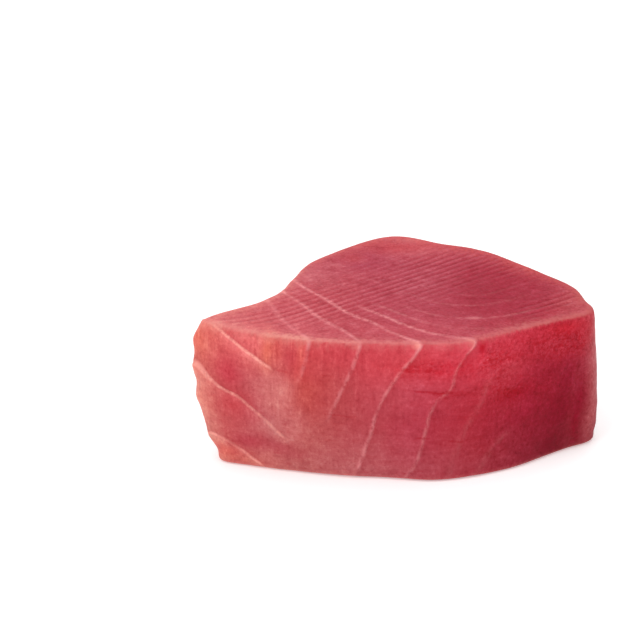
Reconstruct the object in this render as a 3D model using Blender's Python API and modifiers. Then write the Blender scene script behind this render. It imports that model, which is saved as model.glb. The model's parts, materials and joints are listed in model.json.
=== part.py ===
"""Raw tuna loin portion: one thick hand-cut block with a broad right end and a narrow left tip.

Metres, +Z up. The origin is under the middle of the block, on its flat underside. The long side runs along X,
and the broad cut side faces -Y. Run with: blender --background --python part.py
"""

from typing import NamedTuple

import bmesh
import bpy
from mathutils import Matrix, Vector

MM = 0.001

OBJECT_NAME = "raw_tuna_loin"
NODE_NAME = "tuna_loin"

BLOCK_HEIGHT = 42.7 * MM

# The edges are soft: the cage has a line this far from the upper and lower edge, on the wall side of it,
# and one twice as far on the flat side.
TOP_EDGE_SUPPORT = 1.5 * MM
FOOT_EDGE_SUPPORT = 1.9 * MM

# The cut top sinks a little towards its middle.
TOP_DISH = 0.5 * MM
MIDDLE_INSET = 11.0 * MM

# How far down the shoulder reaches from the upper edge, and how far up the tuck does, as parts of the height.
SHOULDER_REACH = 0.30
TUCK_REACH = 0.60

# Heights of the cage's lines up the wall between the two edges, as parts of the height.
WALL_LEVELS = (0.17, 0.40, 0.65, 0.86)

SUBDIVISION_LEVELS = 2
OUTLINE_FIT_ROUNDS = 12

FLESH_COLOUR = (0.48, 0.065, 0.085, 1.0)
FLESH_ROUGHNESS = 0.38


class Corner(NamedTuple):
    """One point of the block's widest line in plan, and how the wall draws in there, all in millimetres."""

    x: float
    y: float
    lean: float  # evenly over the whole height, towards the top
    shoulder: float  # close under the upper edge
    tuck: float  # close to the foot, where the wall curves under


# Counter-clockwise from the left tip, seen from above.
OUTLINE = (
    Corner(-56.8, -12.5, 0.0, 3.6, 7.6),  # left tip, its foot far under
    Corner(-51.5, -19.5, 1.0, 2.6, 3.0),
    Corner(-43.5, -23.0, 0.8, 1.4, 3.0),
    Corner(-31.0, -26.5, 0.3, 0.6, 3.8),  # the broad front begins
    Corner(-17.0, -28.8, 0.0, 0.5, 3.8),
    Corner(-2.0, -29.8, 0.0, 0.5, 3.0),
    Corner(10.0, -30.0, 0.0, 0.5, 1.6),
    Corner(20.5, -27.5, 0.2, 0.5, 1.2),  # blunt corner where the front turns away
    Corner(33.0, -21.0, 0.4, 0.4, 0.4),
    Corner(44.5, -16.0, 1.0, 0.5, 1.6),
    Corner(54.0, -12.3, 2.0, 0.5, 2.4),  # right end, leaning in towards the top
    Corner(58.6, -6.5, 3.2, 0.6, 1.6),
    Corner(57.9, 1.0, 3.6, 0.6, 1.2),
    Corner(53.8, 8.5, 1.8, 0.5, 1.0),
    Corner(45.5, 17.8, 0.8, 0.5, 1.4),
    Corner(35.5, 28.3, 0.5, 0.5, 1.8),
    Corner(26.5, 37.5, 0.5, 0.5, 2.2),  # right shoulder of the back
    Corner(14.0, 42.5, 0.6, 0.6, 2.4),
    Corner(2.5, 47.8, 0.5, 0.6, 3.0),  # rearmost point
    Corner(-8.5, 43.6, 0.5, 0.6, 3.0),
    Corner(-19.5, 33.4, 0.4, 0.5, 2.6),
    Corner(-27.0, 24.0, 0.4, 0.5, 2.2),
    Corner(-31.2, 11.5, 0.4, 0.5, 2.4),
    Corner(-37.5, 0.2, 0.4, 0.6, 3.0),  # hollow behind the left tongue
    Corner(-47.5, -6.5, 0.4, 1.2, 5.0),
)


class Station(NamedTuple):
    """One place round the outline: its plan point, its outward direction and its wall's shape, in metres."""

    point: Vector
    outward: Vector
    lean: float
    shoulder: float
    tuck: float


def clear_scene():
    for obj in list(bpy.data.objects):
        bpy.data.objects.remove(obj)


def outline_stations():
    """A station at each corner of the outline."""
    count = len(OUTLINE)
    points = [Vector((corner.x, corner.y)) * MM for corner in OUTLINE]
    stations = []
    for i, corner in enumerate(OUTLINE):
        along = (points[(i + 1) % count] - points[i - 1]).normalized()
        outward = Vector((along.y, -along.x))
        stations.append(Station(points[i], outward, corner.lean * MM, corner.shoulder * MM, corner.tuck * MM))
    return stations


def wall_inset(station, height):
    """How far the wall stands in from the widest line at this height."""
    part = height / BLOCK_HEIGHT
    shoulder = max(0.0, (part - (1 - SHOULDER_REACH)) / SHOULDER_REACH)
    tuck = max(0.0, 1 - part / TUCK_REACH)
    return station.lean * part + station.shoulder * shoulder**3 + station.tuck * tuck**2


def cage_through(points):
    """The closed line whose subdivision passes through these points: at each, 4/6 of its own and 1/6 of both sides."""
    count = len(points)
    cage = [point.copy() for point in points]
    for _ in range(OUTLINE_FIT_ROUNDS):
        for i in range(count):
            cage[i] = (6 * points[i] - cage[i - 1] - cage[(i + 1) % count]) / 4
    return cage


def wall_ring(stations, height):
    """The cage's line round the wall at this height."""
    points = []
    for station in stations:
        plan = station.point - station.outward * wall_inset(station, height)
        points.append(Vector((plan.x, plan.y, height)))
    return cage_through(points)


def flat_ring(edge, inset, drop=0.0):
    """A line of the cage on the top or the underside: that face's edge, drawn in by inset towards its middle."""
    middle = sum(edge, Vector()) / len(edge)
    points = []
    for point in edge:
        to_middle = middle - point
        points.append(point + to_middle.normalized() * inset - Vector((0, 0, drop)))
    return points


def cage_rings():
    """All lines of the cage, from the middle of the underside, up the wall and in over the top."""
    stations = outline_stations()
    foot = wall_ring(stations, 0.0)
    top = wall_ring(stations, BLOCK_HEIGHT)
    heights = [FOOT_EDGE_SUPPORT]
    heights += [part * BLOCK_HEIGHT for part in WALL_LEVELS]
    heights.append(BLOCK_HEIGHT - TOP_EDGE_SUPPORT)
    return [
        flat_ring(foot, MIDDLE_INSET),
        flat_ring(foot, 2 * FOOT_EDGE_SUPPORT),
        foot,
        *(wall_ring(stations, height) for height in heights),
        top,
        flat_ring(top, 2 * TOP_EDGE_SUPPORT),
        flat_ring(top, MIDDLE_INSET, TOP_DISH),
    ]


def build_cage(rings):
    """A closed coarse mesh: the first ring's face is extruded from each ring to the next, and the start closed."""
    cage = bmesh.new()
    circle = bmesh.ops.create_circle(cage, cap_ends=True, segments=len(rings[0]), radius=1.0)
    for vert, point in zip(circle["verts"], rings[0]):
        vert.co = point
    cage.faces.ensure_lookup_table()
    face = cage.faces[0]
    for ring in rings[1:]:
        face = bmesh.ops.extrude_discrete_faces(cage, faces=[face])["faces"][0]
        for vert, point in zip(face.verts, ring):
            vert.co = point
    open_edges = [edge for edge in cage.edges if edge.is_boundary]
    bmesh.ops.holes_fill(cage, edges=open_edges, sides=len(rings[0]))
    bmesh.ops.recalc_face_normals(cage, faces=cage.faces)
    return cage


def centre_in_plan(obj):
    """Moves the object's mesh so that the box round its finished shape has its middle over the origin."""
    finished = obj.evaluated_get(bpy.context.evaluated_depsgraph_get())
    mesh = finished.to_mesh()
    across = [vert.co.x for vert in mesh.vertices]
    along = [vert.co.y for vert in mesh.vertices]
    finished.to_mesh_clear()
    middle = Vector((min(across) + max(across), min(along) + max(along), 0.0)) / 2
    obj.data.transform(Matrix.Translation(-middle))


def flesh_material():
    material = bpy.data.materials.new("tuna_flesh")
    material.use_nodes = True
    shader = material.node_tree.nodes["Principled BSDF"]
    shader.inputs["Base Color"].default_value = FLESH_COLOUR
    shader.inputs["Roughness"].default_value = FLESH_ROUGHNESS
    shader.inputs["Metallic"].default_value = 0.0
    return material


def add_loin(collection):
    """The block: the coarse cage, rounded by Subdivision Surface and centred over the origin."""
    cage = build_cage(cage_rings())
    mesh = bpy.data.meshes.new(NODE_NAME)
    cage.to_mesh(mesh)
    cage.free()
    mesh.shade_smooth()
    mesh.materials.append(flesh_material())
    loin = bpy.data.objects.new(NODE_NAME, mesh)
    collection.objects.link(loin)
    rounding = loin.modifiers.new("rounding", "SUBSURF")
    rounding.levels = SUBDIVISION_LEVELS
    rounding.render_levels = SUBDIVISION_LEVELS
    centre_in_plan(loin)
    return loin


def main():
    clear_scene()
    collection = bpy.data.collections.new(OBJECT_NAME)
    bpy.context.scene.collection.children.link(collection)
    add_loin(collection)


if __name__ == "__main__":
    main()
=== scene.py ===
"""Raw tuna loin: the looks of one thick hand-cut portion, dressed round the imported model.

Metres, +Z up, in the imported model's own frame: X runs along the long side towards the broad end, the broad
cut side faces -Y, and the block stands on its flat underside at height 0. The block is shaped from a
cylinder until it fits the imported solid, and then its soft edges are pulled a little. The knife's strokes,
the steps between the muscle flakes and the small cracks are worked into its surface. What a surface point
belongs to, such as its flake and its stroke, is stored on the mesh with its broad colour, and the flesh
material reads it there.

Lengths in the tables of marks below are millimetres, and a drop is measured down from the top face.
"""

import json
import logging
import math
from collections.abc import Callable, Sequence
from dataclasses import dataclass, field
from enum import Enum

import bpy
import numpy as np
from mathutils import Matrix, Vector, kdtree, noise

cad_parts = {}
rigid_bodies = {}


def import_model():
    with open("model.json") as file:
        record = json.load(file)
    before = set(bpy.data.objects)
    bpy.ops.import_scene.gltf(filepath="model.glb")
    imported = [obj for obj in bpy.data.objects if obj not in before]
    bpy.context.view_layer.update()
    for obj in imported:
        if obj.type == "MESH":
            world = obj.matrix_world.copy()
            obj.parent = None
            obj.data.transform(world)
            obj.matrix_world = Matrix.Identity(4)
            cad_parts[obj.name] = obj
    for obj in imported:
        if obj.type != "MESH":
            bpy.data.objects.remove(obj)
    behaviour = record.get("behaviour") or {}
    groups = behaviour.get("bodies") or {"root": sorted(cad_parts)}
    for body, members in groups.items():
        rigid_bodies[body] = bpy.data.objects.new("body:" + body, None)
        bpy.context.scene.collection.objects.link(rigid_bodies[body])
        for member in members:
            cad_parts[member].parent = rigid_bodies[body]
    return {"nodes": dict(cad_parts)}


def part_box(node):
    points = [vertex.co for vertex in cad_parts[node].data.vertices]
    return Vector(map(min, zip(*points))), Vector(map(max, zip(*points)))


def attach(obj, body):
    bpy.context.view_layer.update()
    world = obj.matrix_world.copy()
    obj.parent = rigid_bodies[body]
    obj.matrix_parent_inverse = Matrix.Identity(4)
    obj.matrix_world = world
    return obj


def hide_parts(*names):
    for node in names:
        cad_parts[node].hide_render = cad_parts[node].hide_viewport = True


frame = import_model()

LOG = logging.getLogger("tuna_loin")
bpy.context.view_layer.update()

MM = 0.001
NODE_NAME = "tuna_loin"
BODY_NAME = "root"
BAKE_LAYER = "OFBake"

PLAIN_STEP = 0.2  # The step at a sheet that has none of its own.
STEEP = 0.62  # Where the surface is less level than this, it belongs to the sides.
OUTER_FADE = 15.5  # How much further down the outermost sheets fade than the others.

Place = tuple[float, float, float]
Tint = tuple[int, int, int]


def linear(tints: Sequence[float] | np.ndarray) -> np.ndarray:
    """Turns screen colours, of values up to 255, into linear ones up to 1."""
    share = np.asarray(tints, dtype=float) / 255.0
    return np.where(share <= 0.04045, share / 12.92, ((share + 0.055) / 1.055) ** 2.4)


def shade(tint: Tint) -> tuple[float, float, float, float]:
    """The linear colour, with a full alpha, that a shader takes for a screen colour."""
    red, green, blue = linear(tint)
    return (float(red), float(green), float(blue), 1.0)


def ease(values: np.ndarray, start: float, end: float) -> np.ndarray:
    """Rises softly from 0 at start to 1 at end, or falls if end is the smaller.

    Args:
        values: what is eased.
        start: the value that gives 0.
        end: the value that gives 1.

    Returns:
        The eased values, 0 to 1.
    """
    share = np.clip((values - start) / (end - start), 0.0, 1.0)
    return share * share * (3.0 - 2.0 * share)


def hill(places: np.ndarray, middle: Sequence[float], reach: Sequence[float]) -> np.ndarray:
    """A smooth hill of height 1 at its middle.

    Args:
        places: one point in a row.
        middle: the hill's middle.
        reach: how far it spreads along each axis.

    Returns:
        The hill's height at each point.
    """
    return np.exp(-((((places - np.asarray(middle)) / np.asarray(reach)) ** 2).sum(axis=1)))


def cloud(places: np.ndarray, size: Sequence[float] | float, seed: float, octaves: int = 3) -> np.ndarray:
    """Soft random values, about -1 to 1, that are the same on every run.

    Args:
        places: one point in a row.
        size: the size of the clouds, one for all directions or one for each.
        seed: shifts the pattern.
        octaves: how many finer levels it has.

    Returns:
        One value for each place.
    """
    scaled = places / np.asarray(size, dtype=float) + seed
    return np.array([noise.fractal(Vector(place), 0.8, 2.1, octaves) for place in scaled])


def drifts(places: np.ndarray, size: float, seeds: Sequence[float]) -> np.ndarray:
    """A soft random shift for each point, of about -1 to 1 along each axis.

    Args:
        places: one point in a row.
        size: the size of the clouds.
        seeds: one for each axis.

    Returns:
        One shift for each place.
    """
    return np.stack([cloud(places, size, seed) for seed in seeds], axis=1)


def path_away(plan: np.ndarray, path: Sequence[tuple[float, float]]) -> np.ndarray:
    """How far each point is from a bent line.

    Args:
        plan: one point in a row, of two values.
        path: the line's corners.

    Returns:
        The distances.
    """
    corners = np.asarray(path, dtype=float)
    nearest = np.full(len(plan), np.inf)
    for start, end in zip(corners[:-1], corners[1:]):
        way = end - start
        share = np.clip((plan - start) @ way / (way @ way), 0.0, 1.0)
        nearest = np.minimum(nearest, np.linalg.norm(plan - start - share[:, None] * way, axis=1))
    return nearest


def lone(thing: bpy.types.Object) -> None:
    """Makes one object the only selected and the active one."""
    for other in bpy.context.view_layer.objects:
        other.select_set(other is thing)
    bpy.context.view_layer.objects.active = thing


def apply_modifier(thing: bpy.types.Object, kind: str, **settings: object) -> None:
    """Adds one modifier with these settings and applies it.

    Args:
        thing: the object that gets it.
        kind: Blender's name of the modifier's kind.
        settings: the modifier's own settings.
    """
    lone(thing)
    modifier = thing.modifiers.new(kind.title(), kind)
    for name, value in settings.items():
        setattr(modifier, name, value)
    bpy.ops.object.modifier_apply(modifier=modifier.name)


def read_all(items: bpy.types.bpy_prop_collection, name: str, width: int, kind: type = float) -> np.ndarray:
    """Reads one property of all of a mesh's items.

    Args:
        items: the mesh's points, faces or corners.
        name: Blender's name of the property.
        width: how many numbers it has.
        kind: the kind of those numbers.

    Returns:
        One row for each item.
    """
    values = np.empty(len(items) * width, dtype=kind)
    items.foreach_get(name, values)
    return values.reshape(-1, width)


class Relief(Enum):
    """Which way a mark goes: it stands proud of the surface, or it is cut into it."""

    PROUD = 1.0
    CUT = -1.0


class CutFace(Enum):
    """The two flat faces that the long knife left."""

    TOP = 1.0
    FOOT = -1.0


class Skin(Enum):
    """The parts of the surface that a fade can act on."""

    ALL = "all"
    FLAT = "flat"
    SIDE = "side"


class Side(Enum):
    """The two long sides of the block, by the sign of their Y."""

    FRONT = -1.0
    BACK = 1.0


@dataclass(frozen=True)
class Sheet:
    """One pale sheet between two muscle flakes.

    Attributes:
        count: its number in its family.
        show: how clearly it shows, 0 to 1.
        step: how far the flake on its lower side stands proud of the next, in millimetres.
        line: X, Y and drop of points where it comes to the surface.
    """

    count: float
    show: float
    step: float
    line: tuple[Place, ...]


@dataclass(frozen=True)
class Fade:
    """A place where sheets show less, or more, than their own strength.

    Attributes:
        share: how much of it they lose there. Less than 0 is a gain.
        skin: the part of the surface that it acts on.
        spans: what bounds it: the name of a value, where that starts to count, and where it counts in full.
        hills: what else bounds it: the name of a value, and the middle and reach of a soft hill.
        spared: the count of one sheet that loses another share, and that share.
    """

    share: float
    skin: Skin = Skin.ALL
    spans: tuple[tuple[str, float, float], ...] = ()
    hills: tuple[tuple[str, float, float], ...] = ()
    spared: tuple[float, float] | None = None

    def keeps(self, values: dict[str, np.ndarray]) -> np.ndarray:
        """What share of its strength a sheet keeps at each point.

        Args:
            values: the named values at each point, with its share of each part of the surface.

        Returns:
            The shares, 1 where the fade doesn't reach.
        """
        lost = self.share
        if self.spared is not None:
            count, share = self.spared
            lost = lost + (share - lost) * ease(np.abs(values["count"] - count), 0.5, 0.35)
        lost = lost * values[self.skin.value]
        for name, start, end in self.spans:
            lost = lost * ease(values[name], start, end)
        for name, middle, reach in self.hills:
            lost = lost * np.exp(-(((values[name] - middle) / reach) ** 2))
        return 1.0 - lost


@dataclass(frozen=True)
class SheetFamily:
    """Nested sheets. Their count rises evenly from each one to the next, through the whole block.

    Attributes:
        sheets: the sheets, by their count.
        fades: where they show less or more.
        stiffness: how far their lines may miss the points, for a smoother bend.
    """

    sheets: tuple[Sheet, ...]
    fades: tuple[Fade, ...] = ()
    stiffness: float = 0.0002

    @staticmethod
    def _bend(away: np.ndarray) -> np.ndarray:
        """How a bent solid answers at these distances from a point that pulls it."""
        return (away / 40.0) ** 3

    def counts(self, places: np.ndarray, height: float) -> np.ndarray:
        """The count anywhere in the block, bent smoothly through all the sheets' points.

        Args:
            places: points in millimetres.
            height: the block's height in millimetres.

        Returns:
            The count at each point, a whole number on a sheet.
        """
        knots = np.array([point for sheet in self.sheets for point in sheet.line])
        wanted = np.array([sheet.count for sheet in self.sheets for _ in sheet.line])
        size = len(knots)
        system = np.zeros((size + 4, size + 4))
        system[:size, :size] = self._bend(np.linalg.norm(knots[:, None] - knots[None], axis=2))
        system[:size, :size] += self.stiffness * np.eye(size)
        system[:size, size] = 1.0
        system[:size, size + 1 :] = knots
        system[size:, :size] = system[:size, size:].T
        weights = np.linalg.solve(system, np.append(wanted, np.zeros(4)))
        points = np.column_stack((places[:, 0], places[:, 1], height - places[:, 2]))
        total = weights[size] + points @ weights[size + 1 :]
        for knot, weight in zip(knots, weights):
            total += weight * self._bend(np.linalg.norm(points - knot, axis=1))
        return total

    def spacing(self, places: np.ndarray, ways: np.ndarray, height: float) -> np.ndarray:
        """How many millimetres lie between one sheet and the next, measured along the surface.

        Args:
            places: points in millimetres.
            ways: which way the surface faces at each.
            height: the block's height in millimetres.

        Returns:
            The spacing at each point.
        """
        here = self.counts(places, height)
        slopes = [self.counts(places + step, height) - here for step in np.eye(3)]
        slope = np.stack(slopes, axis=1)
        slope -= ways * (slope * ways).sum(axis=1)[:, None]
        return 1.0 / np.maximum(np.linalg.norm(slope, axis=1), 0.02)

    def shows(self, values: dict[str, np.ndarray]) -> np.ndarray:
        """How clearly the nearest sheet shows at each point, after the fades.

        Args:
            values: the named values at each point, the count among them.

        Returns:
            The strengths, 0 to 1.
        """
        counts = [sheet.count for sheet in self.sheets]
        shows = np.interp(values["count"], counts, [sheet.show for sheet in self.sheets])
        for fade in self.fades:
            shows = shows * fade.keeps(values)
        return shows

    def steps(self, counts: np.ndarray) -> np.ndarray:
        """How far the surface stands proud of the flake before, growing towards each next sheet."""
        steps = {sheet.count: sheet.step for sheet in self.sheets}
        ahead = np.ceil(counts)
        return (1.0 - (ahead - counts)) ** 3 * np.array([steps.get(count, PLAIN_STEP) for count in ahead])


MAIN_SHEETS = SheetFamily(
    sheets=(
        Sheet(0, 0.50, 0.25, ((-37, -10.5, 0), (-32, -23, 0), (-25, -35.8, 0), (-26.4, -36, 7.7),
                              (-29, -35.5, 15))),
        Sheet(1, 0.75, 0.30, ((-33, -4, 0), (-22.5, -20, 0), (-10.8, -37.5, 0), (-13.3, -37.7, 7.4),
                              (-18.3, -37, 19.3))),
        Sheet(2, 1.00, 0.35, ((-29.5, 4, 0), (-20, -8.7, 0), (-10, -22.5, 0), (5.2, -38, 0),
                              (-2, -38.4, 11.3), (-7.7, -37.7, 24.2), (-13, -35, 40))),
        Sheet(3, 0.65, 0.45, ((-10, -14.5, 0), (-3.5, -21, 0), (5, -29.5, 0), (20, -35.3, 0),
                              (14.5, -37.8, 9.8), (13.3, -38, 14.2), (10.7, -38.5, 16.4), (6.5, -38.4, 27),
                              (0.6, -36.2, 41))),
        Sheet(4, 0.32, 0.20, ((4.5, -22.5, 0), (18, -28.7, 0), (37, -26.5, 0), (24.4, -33.8, 13.3),
                              (17.1, -36.8, 28.7), (12.8, -37, 41))),
        Sheet(5, 0.30, 0.20, ((-1, -10.5, 0), (4, -15, 0), (13.5, -21, 0), (31, -19, 0), (41, -12.5, 0),
                              (52, -6, 0), (33.8, -28.9, 29.5), (26, -33.6, 34.5), (22, -35.6, 40.5))),
        Sheet(6, 0.24, 0.15, ((-20.5, 20, 0), (-14.7, 11, 0), (-6, 3.8, 0), (5.5, -6.5, 0), (19, -12.7, 0),
                              (28, -10.5, 0), (40, -3, 0))),
        Sheet(7, 0.10, 0.15, ((14, -3, 0), (22, -6, 0), (30, -2, 0))),
    ),
    fades=(
        Fade(1.00, spans=(("count", -0.2, -0.35),)),
        Fade(0.85, Skin.FLAT, (("past_heart", -12.5, -8.0), ("count", 2.4, 2.7)), spared=(6.0, 0.40)),
        Fade(1.00, Skin.FLAT, (("x", 33.0, 42.0), ("count", 4.4, 4.7))),
        Fade(0.35, Skin.FLAT, (("x", 22.0, 12.0), ("count", 4.5, 4.8))),
        Fade(0.55, Skin.FLAT, (("x", 4.0, 12.0),), (("count", 4.0, 0.35),)),
        Fade(-0.20, Skin.FLAT, (("x", 12.0, 2.0),), (("count", 3.0, 0.30),)),
        Fade(0.30, Skin.FLAT, (("x", -17.0, -9.0),), (("count", 2.0, 0.30),)),
        Fade(0.45, Skin.SIDE, (("count", 3.4, 3.7),)),
        Fade(1.00, Skin.SIDE, (("count", 3.4, 3.7), ("raised_drop", 16.0, 9.0))),
        Fade(1.00, Skin.SIDE, (("count", 4.4, 4.7), ("x", 28.0, 33.0))),
        Fade(1.00, Skin.SIDE, (("count", 1.5, 1.2), ("drop", 18.0, 28.0))),
        Fade(1.00, Skin.SIDE, (("count", 0.5, 0.2), ("drop", 11.0, 18.0))),
        Fade(1.00, Skin.SIDE, (("x", 34.0, 42.0),)),
        Fade(1.00, Skin.SIDE, (("x", 38.0, 45.0),)),
        Fade(1.00, Skin.SIDE, (("x", -31.0, -34.0),)),
    ),
)

TIP_SHEETS = SheetFamily(
    sheets=(
        Sheet(0, 1.00, 0.25, ((-53.4, -22.8, 0.4), (-48.6, -27, 1.8), (-43.6, -30.5, 4.7), (-37.6, -33, 8.3),
                              (-31.4, -35, 12.2))),
        Sheet(1, 1.00, 0.40, ((-55.3, -24.5, 14.4), (-50.8, -28, 16.8), (-48.9, -29, 18.2),
                              (-45.2, -30.6, 19.1), (-39.2, -32.4, 23.6), (-34.3, -33.4, 28.4),
                              (-30.7, -34, 31.3))),
        Sheet(2, 1.00, 0.40, ((-52, -26, 34.6), (-49.3, -27.8, 34.6), (-46.5, -29, 35.8), (-41, -30, 39.6))),
    ),
    fades=(
        Fade(1.00, Skin.FLAT),
        Fade(0.18),
        Fade(1.00, spans=(("x", -33.5, -29.5),)),
        Fade(1.00, spans=(("count", -0.1, -0.3),)),
        Fade(1.00, spans=(("count", 2.1, 2.3),)),
        Fade(1.00, spans=(("count", 0.6, 0.4), ("x", -37.0, -34.0))),
        Fade(0.65, spans=(("count", 1.5, 1.7),), hills=(("x", -46.0, 3.2),)),
        Fade(-0.305, spans=(("count", 0.6, 0.4),), hills=(("x", -41.0, 3.5),)),
        Fade(0.30, spans=(("x", -48.0, -40.0), ("count", 0.5, 0.7), ("count", 1.5, 1.3))),
    ),
)

BACK_SHEETS = SheetFamily(
    sheets=(
        Sheet(0, 0.80, 0.30, ((-12, 27, 0), (-8.5, 30, 12), (-7.5, 31, 28), (-11, 28, 42))),
        Sheet(1, 0.60, 0.25, ((1, 37, 0), (5.5, 36, 12), (6.5, 35, 28), (2, 36, 42))),
        Sheet(2, 0.75, 0.30, ((15, 31, 0), (20, 28, 12), (21.5, 26, 28), (17, 29, 42))),
        Sheet(3, 0.50, 0.25, ((29, 21, 0), (34, 17, 12), (35.5, 15, 28), (31, 18, 42))),
        Sheet(4, 0.35, 0.20, ((43, 8, 0), (47, 3, 12), (48.5, 0, 28), (45, 4, 42))),
    ),
    fades=(
        Fade(1.00, spans=(("x", -17.0, -24.0),)),
        Fade(1.00, spans=(("y", 4.0, -2.0),)),
        Fade(1.00, spans=(("edge_away", -1.6, -0.3),)),
        Fade(1.00, spans=(("foot_away", 1.5, 0.2),)),
        Fade(1.00, spans=(("count", -0.2, -0.4),)),
        Fade(1.00, spans=(("count", 4.2, 4.4),)),
    ),
)


@dataclass(frozen=True)
class StrokeBand:
    """A stretch of the flat faces where the knife's strokes show.

    Attributes:
        path: the band's middle line, X and Y.
        reach: how wide it is to each side.
        show: how clearly the strokes show on that line.
    """

    path: tuple[tuple[float, float], ...]
    reach: float
    show: float


@dataclass(frozen=True)
class KnifeStrokes:
    """The fine even ridges that a sawing knife leaves on the two flat faces.

    Attributes:
        turn: their direction from +X towards +Y, in degrees.
        pitch: from one ridge to the next, in millimetres.
        slip: how far, in ridges, they jump where the knife passes the strongest sheet.
        slip_sheet: the count of that sheet.
        tip_bend: how they bend to a flatter course towards the tip.
        tip_start: X where that starts.
        broad_bend: how they do towards the broad end.
        broad_start: X where that starts.
        wander: how far, in ridges, they stray.
        elsewhere: how clearly they show outside all bands.
        depth: how deep the strokes are, in metres.
        bands: where they show.
    """

    turn: float = 38.0
    pitch: float = 2.42
    slip: float = 0.45
    slip_sheet: float = 2.0
    tip_bend: float = 0.0027
    tip_start: float = -26.0
    broad_bend: float = 0.0005
    broad_start: float = 5.0
    wander: float = 0.22
    elsewhere: float = 0.05
    depth: float = 0.20 * MM
    bands: tuple[StrokeBand, ...] = (
        StrokeBand(((-26, -16), (-19, -12), (-4, -3), (12, 7), (24, 13), (34, 15)), 12.0, 1.0),
        StrokeBand(((-46, -22), (-32, -21), (-24, -16)), 8.5, 0.62),
        StrokeBand(((37, -16), (50, -7)), 5.5, 1.0),
        StrokeBand(((30, 2), (46, 6)), 9.0, 0.40),
        StrokeBand(((6, 16), (20, 20), (32, 18)), 6.5, 1.05),
        StrokeBand(((-10, 12), (14, 26)), 8.0, 0.35),
    )

    def _turned(self, places: np.ndarray) -> tuple[np.ndarray, np.ndarray]:
        """How far each point lies along the strokes and across them."""
        turn = math.radians(self.turn)
        along = places[:, 0] * math.cos(turn) + places[:, 1] * math.sin(turn)
        return along, places[:, 1] * math.cos(turn) - places[:, 0] * math.sin(turn)

    def phase(self, places: np.ndarray, counts: np.ndarray) -> np.ndarray:
        """How many strokes lie between each point and the origin.

        Args:
            places: points in millimetres.
            counts: the sheet count at each.

        Returns:
            The number of strokes, a whole number on a ridge.
        """
        bend = -self.tip_bend * np.minimum(places[:, 0] - self.tip_start, 0.0) ** 2
        bend += self.broad_bend * np.maximum(places[:, 0] - self.broad_start, 0.0) ** 2
        wander = self.wander * cloud(places, 30.0, 3.7, 2)
        jump = self.slip * ease(counts, self.slip_sheet - 0.03, self.slip_sheet + 0.03)
        return self._turned(places)[1] / self.pitch + bend + wander + jump

    def shows(self, places: np.ndarray) -> np.ndarray:
        """How clearly the strokes show on the flat faces.

        Args:
            places: points in millimetres.

        Returns:
            The strength at each point, about 0 to 1.
        """
        total = np.full(len(places), self.elsewhere)
        for band in self.bands:
            away = path_away(places[:, :2], band.path)
            total = np.maximum(total, band.show * np.exp(-((away / band.reach) ** 2)))
        along, across = self._turned(places)
        streaks = cloud(np.column_stack((along / 14.0, across / 5.0, places[:, 2] / 30.0)), 1.0, 5.1, 3)
        return total * np.clip(0.92 + 0.40 * streaks, 0.45, 1.15)


@dataclass(frozen=True)
class Crack:
    """A short level crack across the flakes, in one of the long sides.

    Attributes:
        side: the side that it is in.
        start: X of its left end.
        end: X of its right end.
        drop: how deep down its left end lies.
        fall: how much its other end lies below that.
        width: how wide it opens.
        show: how deep it is cut and how dark its painted shade is, 0 to 1.
    """

    side: Side
    start: float
    end: float
    drop: float
    fall: float
    width: float
    show: float

    def weights(self, places: np.ndarray, drop: np.ndarray) -> np.ndarray:
        """How far each point of the block lies in the crack.

        Args:
            places: points in millimetres.
            drop: how far each lies below the top face.

        Returns:
            The shares, 0 to 1.
        """
        share = (places[:, 0] - self.start) / (self.end - self.start)
        off = np.abs(drop - self.drop - self.fall * share)
        ends = ease(share, -0.05, 0.15) * ease(share, 1.05, 0.85)
        return self.show * ease(off, self.width + 0.5, 0.0) * ends * (places[:, 1] * self.side.value > 3.0)


CRACKS = (
    Crack(Side.FRONT, 2.4, 13.6, 13.9, 1.3, 0.50, 0.85),
    Crack(Side.FRONT, 11.6, 14.2, 14.6, 0.5, 0.90, 0.80),
    Crack(Side.FRONT, 3.5, 8.6, 28.6, 0.5, 0.50, 0.45),
    Crack(Side.FRONT, 13.0, 17.6, 30.0, 0.6, 0.55, 0.60),
    Crack(Side.FRONT, -34.0, -30.4, 10.0, 0.5, 0.60, 0.40),
    Crack(Side.FRONT, -22.0, -18.2, 10.1, 0.3, 0.45, 0.35),
    Crack(Side.FRONT, -22.0, -11.5, 21.9, 0.8, 0.40, 0.35),
    Crack(Side.FRONT, 1.0, 9.5, 6.6, 1.4, 0.50, 0.35),
    Crack(Side.FRONT, 22.0, 31.0, 13.5, -0.4, 0.45, 0.30),
    Crack(Side.FRONT, 22.0, 33.5, 7.4, 0.3, 0.90, 0.45),
    Crack(Side.FRONT, 12.0, 20.0, 15.3, 0.7, 1.20, 0.40),
    Crack(Side.FRONT, 26.0, 34.0, 17.6, 1.4, 1.40, 0.40),
    Crack(Side.FRONT, -3.0, 12.0, 7.7, 0.5, 1.00, 0.40),
    Crack(Side.BACK, 6.0, 16.0, 12.0, 0.9, 0.50, 0.60),
    Crack(Side.BACK, -18.0, -9.0, 25.0, -0.7, 0.50, 0.50),
    Crack(Side.BACK, 32.0, 40.0, 19.0, 1.0, 0.45, 0.40),
)


@dataclass(frozen=True)
class Pull:
    """A soft pull of the flesh, as by a thumb.

    Attributes:
        place: X, Y and Z of its middle.
        reach: how far it spreads along each axis.
        shift: how far it moves its middle.
    """

    place: Place
    reach: Place
    shift: Place

    def shifts(self, places: np.ndarray) -> np.ndarray:
        """How far it moves each point, in millimetres."""
        return hill(places, self.place, self.reach)[:, None] * np.asarray(self.shift)


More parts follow.
